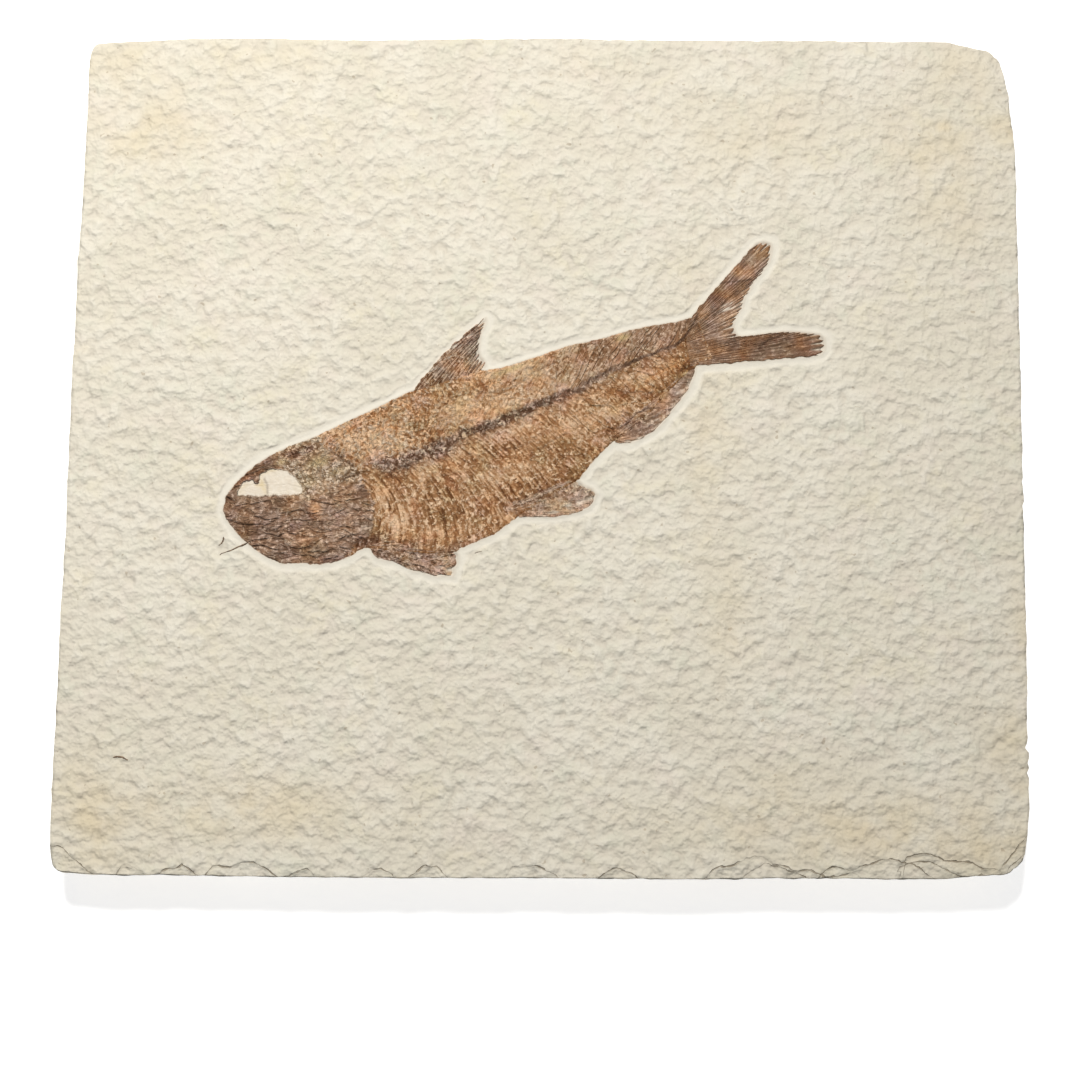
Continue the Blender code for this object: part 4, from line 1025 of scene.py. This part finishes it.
for number, (name, (root, edge, bows, rays)) in enumerate(FINS.items()):
    (lift, darkness, greyness, fray, gap_show, spread,
     ray_show, grain, crumpled_share) = FIN_FINISH[name]
    form, ray, out, border = unit_grid(rays * RAY_COLUMNS, RAY_ROWS)
    ray_number = ray * (rays - 1.0)
    root_x, root_y = along_line(root, ray)
    edge_x, edge_y = along_line(edge, ray)
    reach_x, reach_y = edge_x - root_x, edge_y - root_y
    span = np.hypot(reach_x, reach_y)
    run = out * span
    # the rays: unevenly spaced, unequal in length, bowed, and swaying at the fan's sides
    uneven = ray_number + 0.32 * rough(ray_number, 0.0 * ray, 1.6, 84.0 + number)
    crest = 0.5 + 0.5 * np.cos(math.tau * uneven)
    lengths = np.array([0.0] + [random.random() for each in range(rays - 1)])
    shortened = (1.1 * gap_show * (1.0 - crest)
                 + np.interp(ray_number, range(rays), lengths) * 0.25 * fray
                 + 0.35 * rough(ray_number, 0.0 * ray, 0.4, 97.0 + number))
    out_far = out * np.clip(1.0 - shortened / span, 0.5, 1.0)
    bow = (bows[0] * (1.0 - ray) ** 2 + bows[1] * ray ** 2) * 4.0 * out_far * (1.0 - out_far)
    outermost = np.exp(-2.0 * ray_number) + np.exp(-2.0 * (rays - 1.0 - ray_number))
    sway = 0.12 * rough(ray_number, out * 4.0, 1.6, 80.0 + number)
    sway += (0.34 + 0.16 * ray_show) * outermost * rough(run, 5.0 * ray, 1.6, 92.0 + number, 3)
    x = root_x + reach_x * out_far - reach_y / span * (bow + sway)
    y = root_y + reach_y * out_far + reach_x / span * (bow + sway)
    # the height: a film over the rock or the body, ridged by its rays, frayed at its tips
    from_tip = span * (1.0 - out)
    frayed = fade(0.2 * fray, fray, from_tip)
    frayed *= step(-0.3, 0.25, rough(ray_number, run / 5.0, 1.0, 90.0 + number, 2) + 0.1)
    worn_away = frayed * (1.0 - crest) ** 2
    under_fin, inset = body_surface(x, y)[:2]
    on_body = step(-0.2, 0.9, inset)
    film = FIN_LEVEL + 0.05 * rough(x, y, 2.5, 85.0)
    height = np.maximum(film, on_body * (under_fin + lift) + (1.0 - on_body) * film)
    height += 0.10 * (crest - 0.4)
    height += 0.06 * rough(ray_number, run / 1.2, 0.8, 86.0 + number)
    height -= worn_away * 0.38 * (1.0 - on_body) * step(0.6, 0.9, gap_show + 0.4)
    lay_sheet(form, x, y, np.where(border, FIN_EDGE, height))
    joints = 0.5 + 0.5 * np.cos(math.tau * (run / 0.8 + ray_number * 0.37))
    tone = 0.50 - darkness
    tone += (0.14 + 0.2 * ray_show) * rough(ray_number * 1.4, run / 3.0, 1.1, 95.0 + number, 2)
    tone += 0.06 * joints * step(0.3, 0.6, out) - 0.5 * blotches(x, y, FIN_DARK)
    pale_chips = blotches(x, y, FIN_PALE)
    pale_chips *= step(-0.15, 0.2, rough(ray_number * 1.5, run / 3.0, 1.0, 99.0))
    tip_rays = 0.9 * gap_show * fade(1.0, 4.5, from_tip)
    none = np.zeros(len(x))
    masks = {
        "tone": tone, "grey": clamp(greyness + 0.8 * rough(x, y, 4.0, 96.0)), "cheek": none,
        "bare": clamp(worn_away * gap_show + pale_chips) * (1.0 - 0.5 * on_body),
        # painted shade along the folds, with the spine's and tail's cracks
        "crease_shade_and_cracks": 0.75 * fold_lines(x, y, DEEP_FOLDS + SPINE_CRACKS[-1:] + TAIL_CRACKS, 0.3),
        "yellow": none, "rust": none, "grain": none + grain,
        "streaky": none + 0.15 + 0.5 * ray_show, "crumpled": none + crumpled_share,
        "rib": uneven + 0.5,
        "rib_show": np.maximum(ray_show, tip_rays) * (1.0 + 0.6 * rough(x, y, 2.0, 98.0))}
    along_rays = (ray * spread, run)
    finish_bone(name, form, masks, along_rays if ray_show > CLEAR_RAYS else on_plate(x, y)[::-1])

# Two splinters of dark bone that lie loose of the head, a brown fleck on the rock near the
# lower left corner and another under the belly: thin slivers, thickest in the middle.
SLIVER_COLUMNS, SLIVER_ROWS = 40, 8
SLIVER_FOOT, SLIVER_EDGE = 11.6, 11.75
# Each: its middle line, its width, how high its ridge stands, and the node it stands for
SLIVERS = {
    "jaw_splinter": ([(2.6, -9.0), (1.5, -9.2), (0.0, -9.3), (-1.5, -9.5), (-2.7, -9.5),
                      (-3.6, -9.5), (-4.3, -9.9)], 0.44, 12.14, "jaw_bone_splinter"),
    "small_splinter": ([(-2.1, -6.3), (-2.3, -6.9), (-2.6, -7.3), (-3.0, -7.6), (-3.7, -7.8)],
                       0.5, 12.1, "small_bone_splinter"),
    "brown_fleck": ([in_fish(-85.3, -62.0), in_fish(-84.3, -61.8), in_fish(-83.3, -61.9),
                     in_fish(-82.0, -62.6)], 0.55, 12.1, "jaw_bone_splinter"),
    "belly_fleck": ([(44.2, -25.9), (45.0, -25.9), (45.9, -26.0)],
                    0.3, 12.08, "small_bone_splinter"),
}
dark_bone, tree, shader = new_material("dark_bone")
speckle = noise_of(tree, put(tree, "TexCoord").outputs["Object"], 1800.0, 3.0)
colour = blend(tree, mask(tree, speckle, 0.35, 0.7), (0.10, 0.055, 0.03, 1), (0.30, 0.20, 0.12, 1))
set_surface(tree, shader, colour, mask(tree, speckle, 0.3, 0.7, 0.5, 0.75), speckle, 0.08)
for name, (line, width, top, node) in SLIVERS.items():
    form, along, across = unit_grid(SLIVER_COLUMNS, SLIVER_ROWS)[:3]
    middle_x, middle_y = along_line(line, along)
    ahead_x, ahead_y = along_line(line, clamp(along + 0.02))
    back_x, back_y = along_line(line, clamp(along - 0.02))
    way = np.hypot(ahead_x - back_x, ahead_y - back_y)
    taper = np.sqrt(clamp(np.sin(math.pi * (0.04 + 0.92 * along))))
    taper *= 1.0 + 0.7 * rough(along * 6.0, along, 1.0, 70.0 + top)
    offset = (across - 0.5) * width * taper
    x = middle_x - (ahead_y - back_y) / way * offset
    y = middle_y + (ahead_x - back_x) / way * offset
    dome = clamp(1.0 - (2.0 * across - 1.0) ** 2) * clamp(np.sin(math.pi * along) * 4.0)
    lay_sheet(form, x, y, SLIVER_EDGE + (top - SLIVER_EDGE) * dome)
    close_under(form, SLIVER_FOOT)
    finished(name, form, dark_bone, node)

# Floor, light and camera. A plain white table; one broad lamp above and beyond the
# plate's upper edge, left of the middle, and a pale room. The camera looks almost
# straight down from a little below the plate's middle.
floor_form = bmesh.new()
bmesh.ops.create_grid(floor_form, x_segments=1, y_segments=1, size=1.5)
floor_mesh = bpy.data.meshes.new("table")
floor_form.to_mesh(floor_mesh)
floor_form.free()
white, tree, shader = new_material("white_table")
for label, value in (("Base Color", (0.92, 0.92, 0.92, 1.0)), ("Roughness", 0.8),
                     ("Emission Color", (1.0, 1.0, 1.0, 1.0)), ("Emission Strength", 0.62)):
    shader.inputs[label].default_value = value
floor_mesh.materials.append(white)
table_top = added("table", floor_mesh)
table_top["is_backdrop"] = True

CAMERA_AIM = Vector((-1.1, -18.9, 12.0)) * MM
CAMERA_REACH = 300.0 * MM
CAMERA_TILT = math.radians(6.6)
camera_data = bpy.data.cameras.new("camera")
camera_data.lens = 50.0
camera_data.sensor_width = 36.0
camera_data.clip_start = 0.01
camera = added("camera", camera_data)
camera_way = Vector((0.0, -math.sin(CAMERA_TILT), math.cos(CAMERA_TILT)))
camera.location = CAMERA_AIM + CAMERA_REACH * camera_way
camera.rotation_euler = (CAMERA_TILT, 0.0, 0.0)
bpy.context.scene.camera = camera

LAMP_PLACE, LAMP_AIM = Vector((-50.0, 300.0, 520.0)) * MM, Vector((-300.0, 0.0, 0.0)) * MM
lamp_data = bpy.data.lights.new("lamp", "AREA")
lamp_data.shape = "DISK"
lamp_data.size = 0.09
lamp_data.energy = 3.2
lamp_data.color = (1.0, 0.985, 0.96)
lamp = added("lamp", lamp_data)
lamp.location = LAMP_PLACE
lamp.rotation_euler = (LAMP_AIM - LAMP_PLACE).to_track_quat("-Z", "Y").to_euler()
room = bpy.data.worlds.new("room")
room.use_nodes = True
background = room.node_tree.nodes["Background"]
background.inputs["Color"].default_value = (0.97, 0.98, 1.0, 1.0)
background.inputs["Strength"].default_value = 0.26
bpy.context.scene.world = room
bpy.context.scene.view_settings.view_transform = "Standard"

low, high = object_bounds()
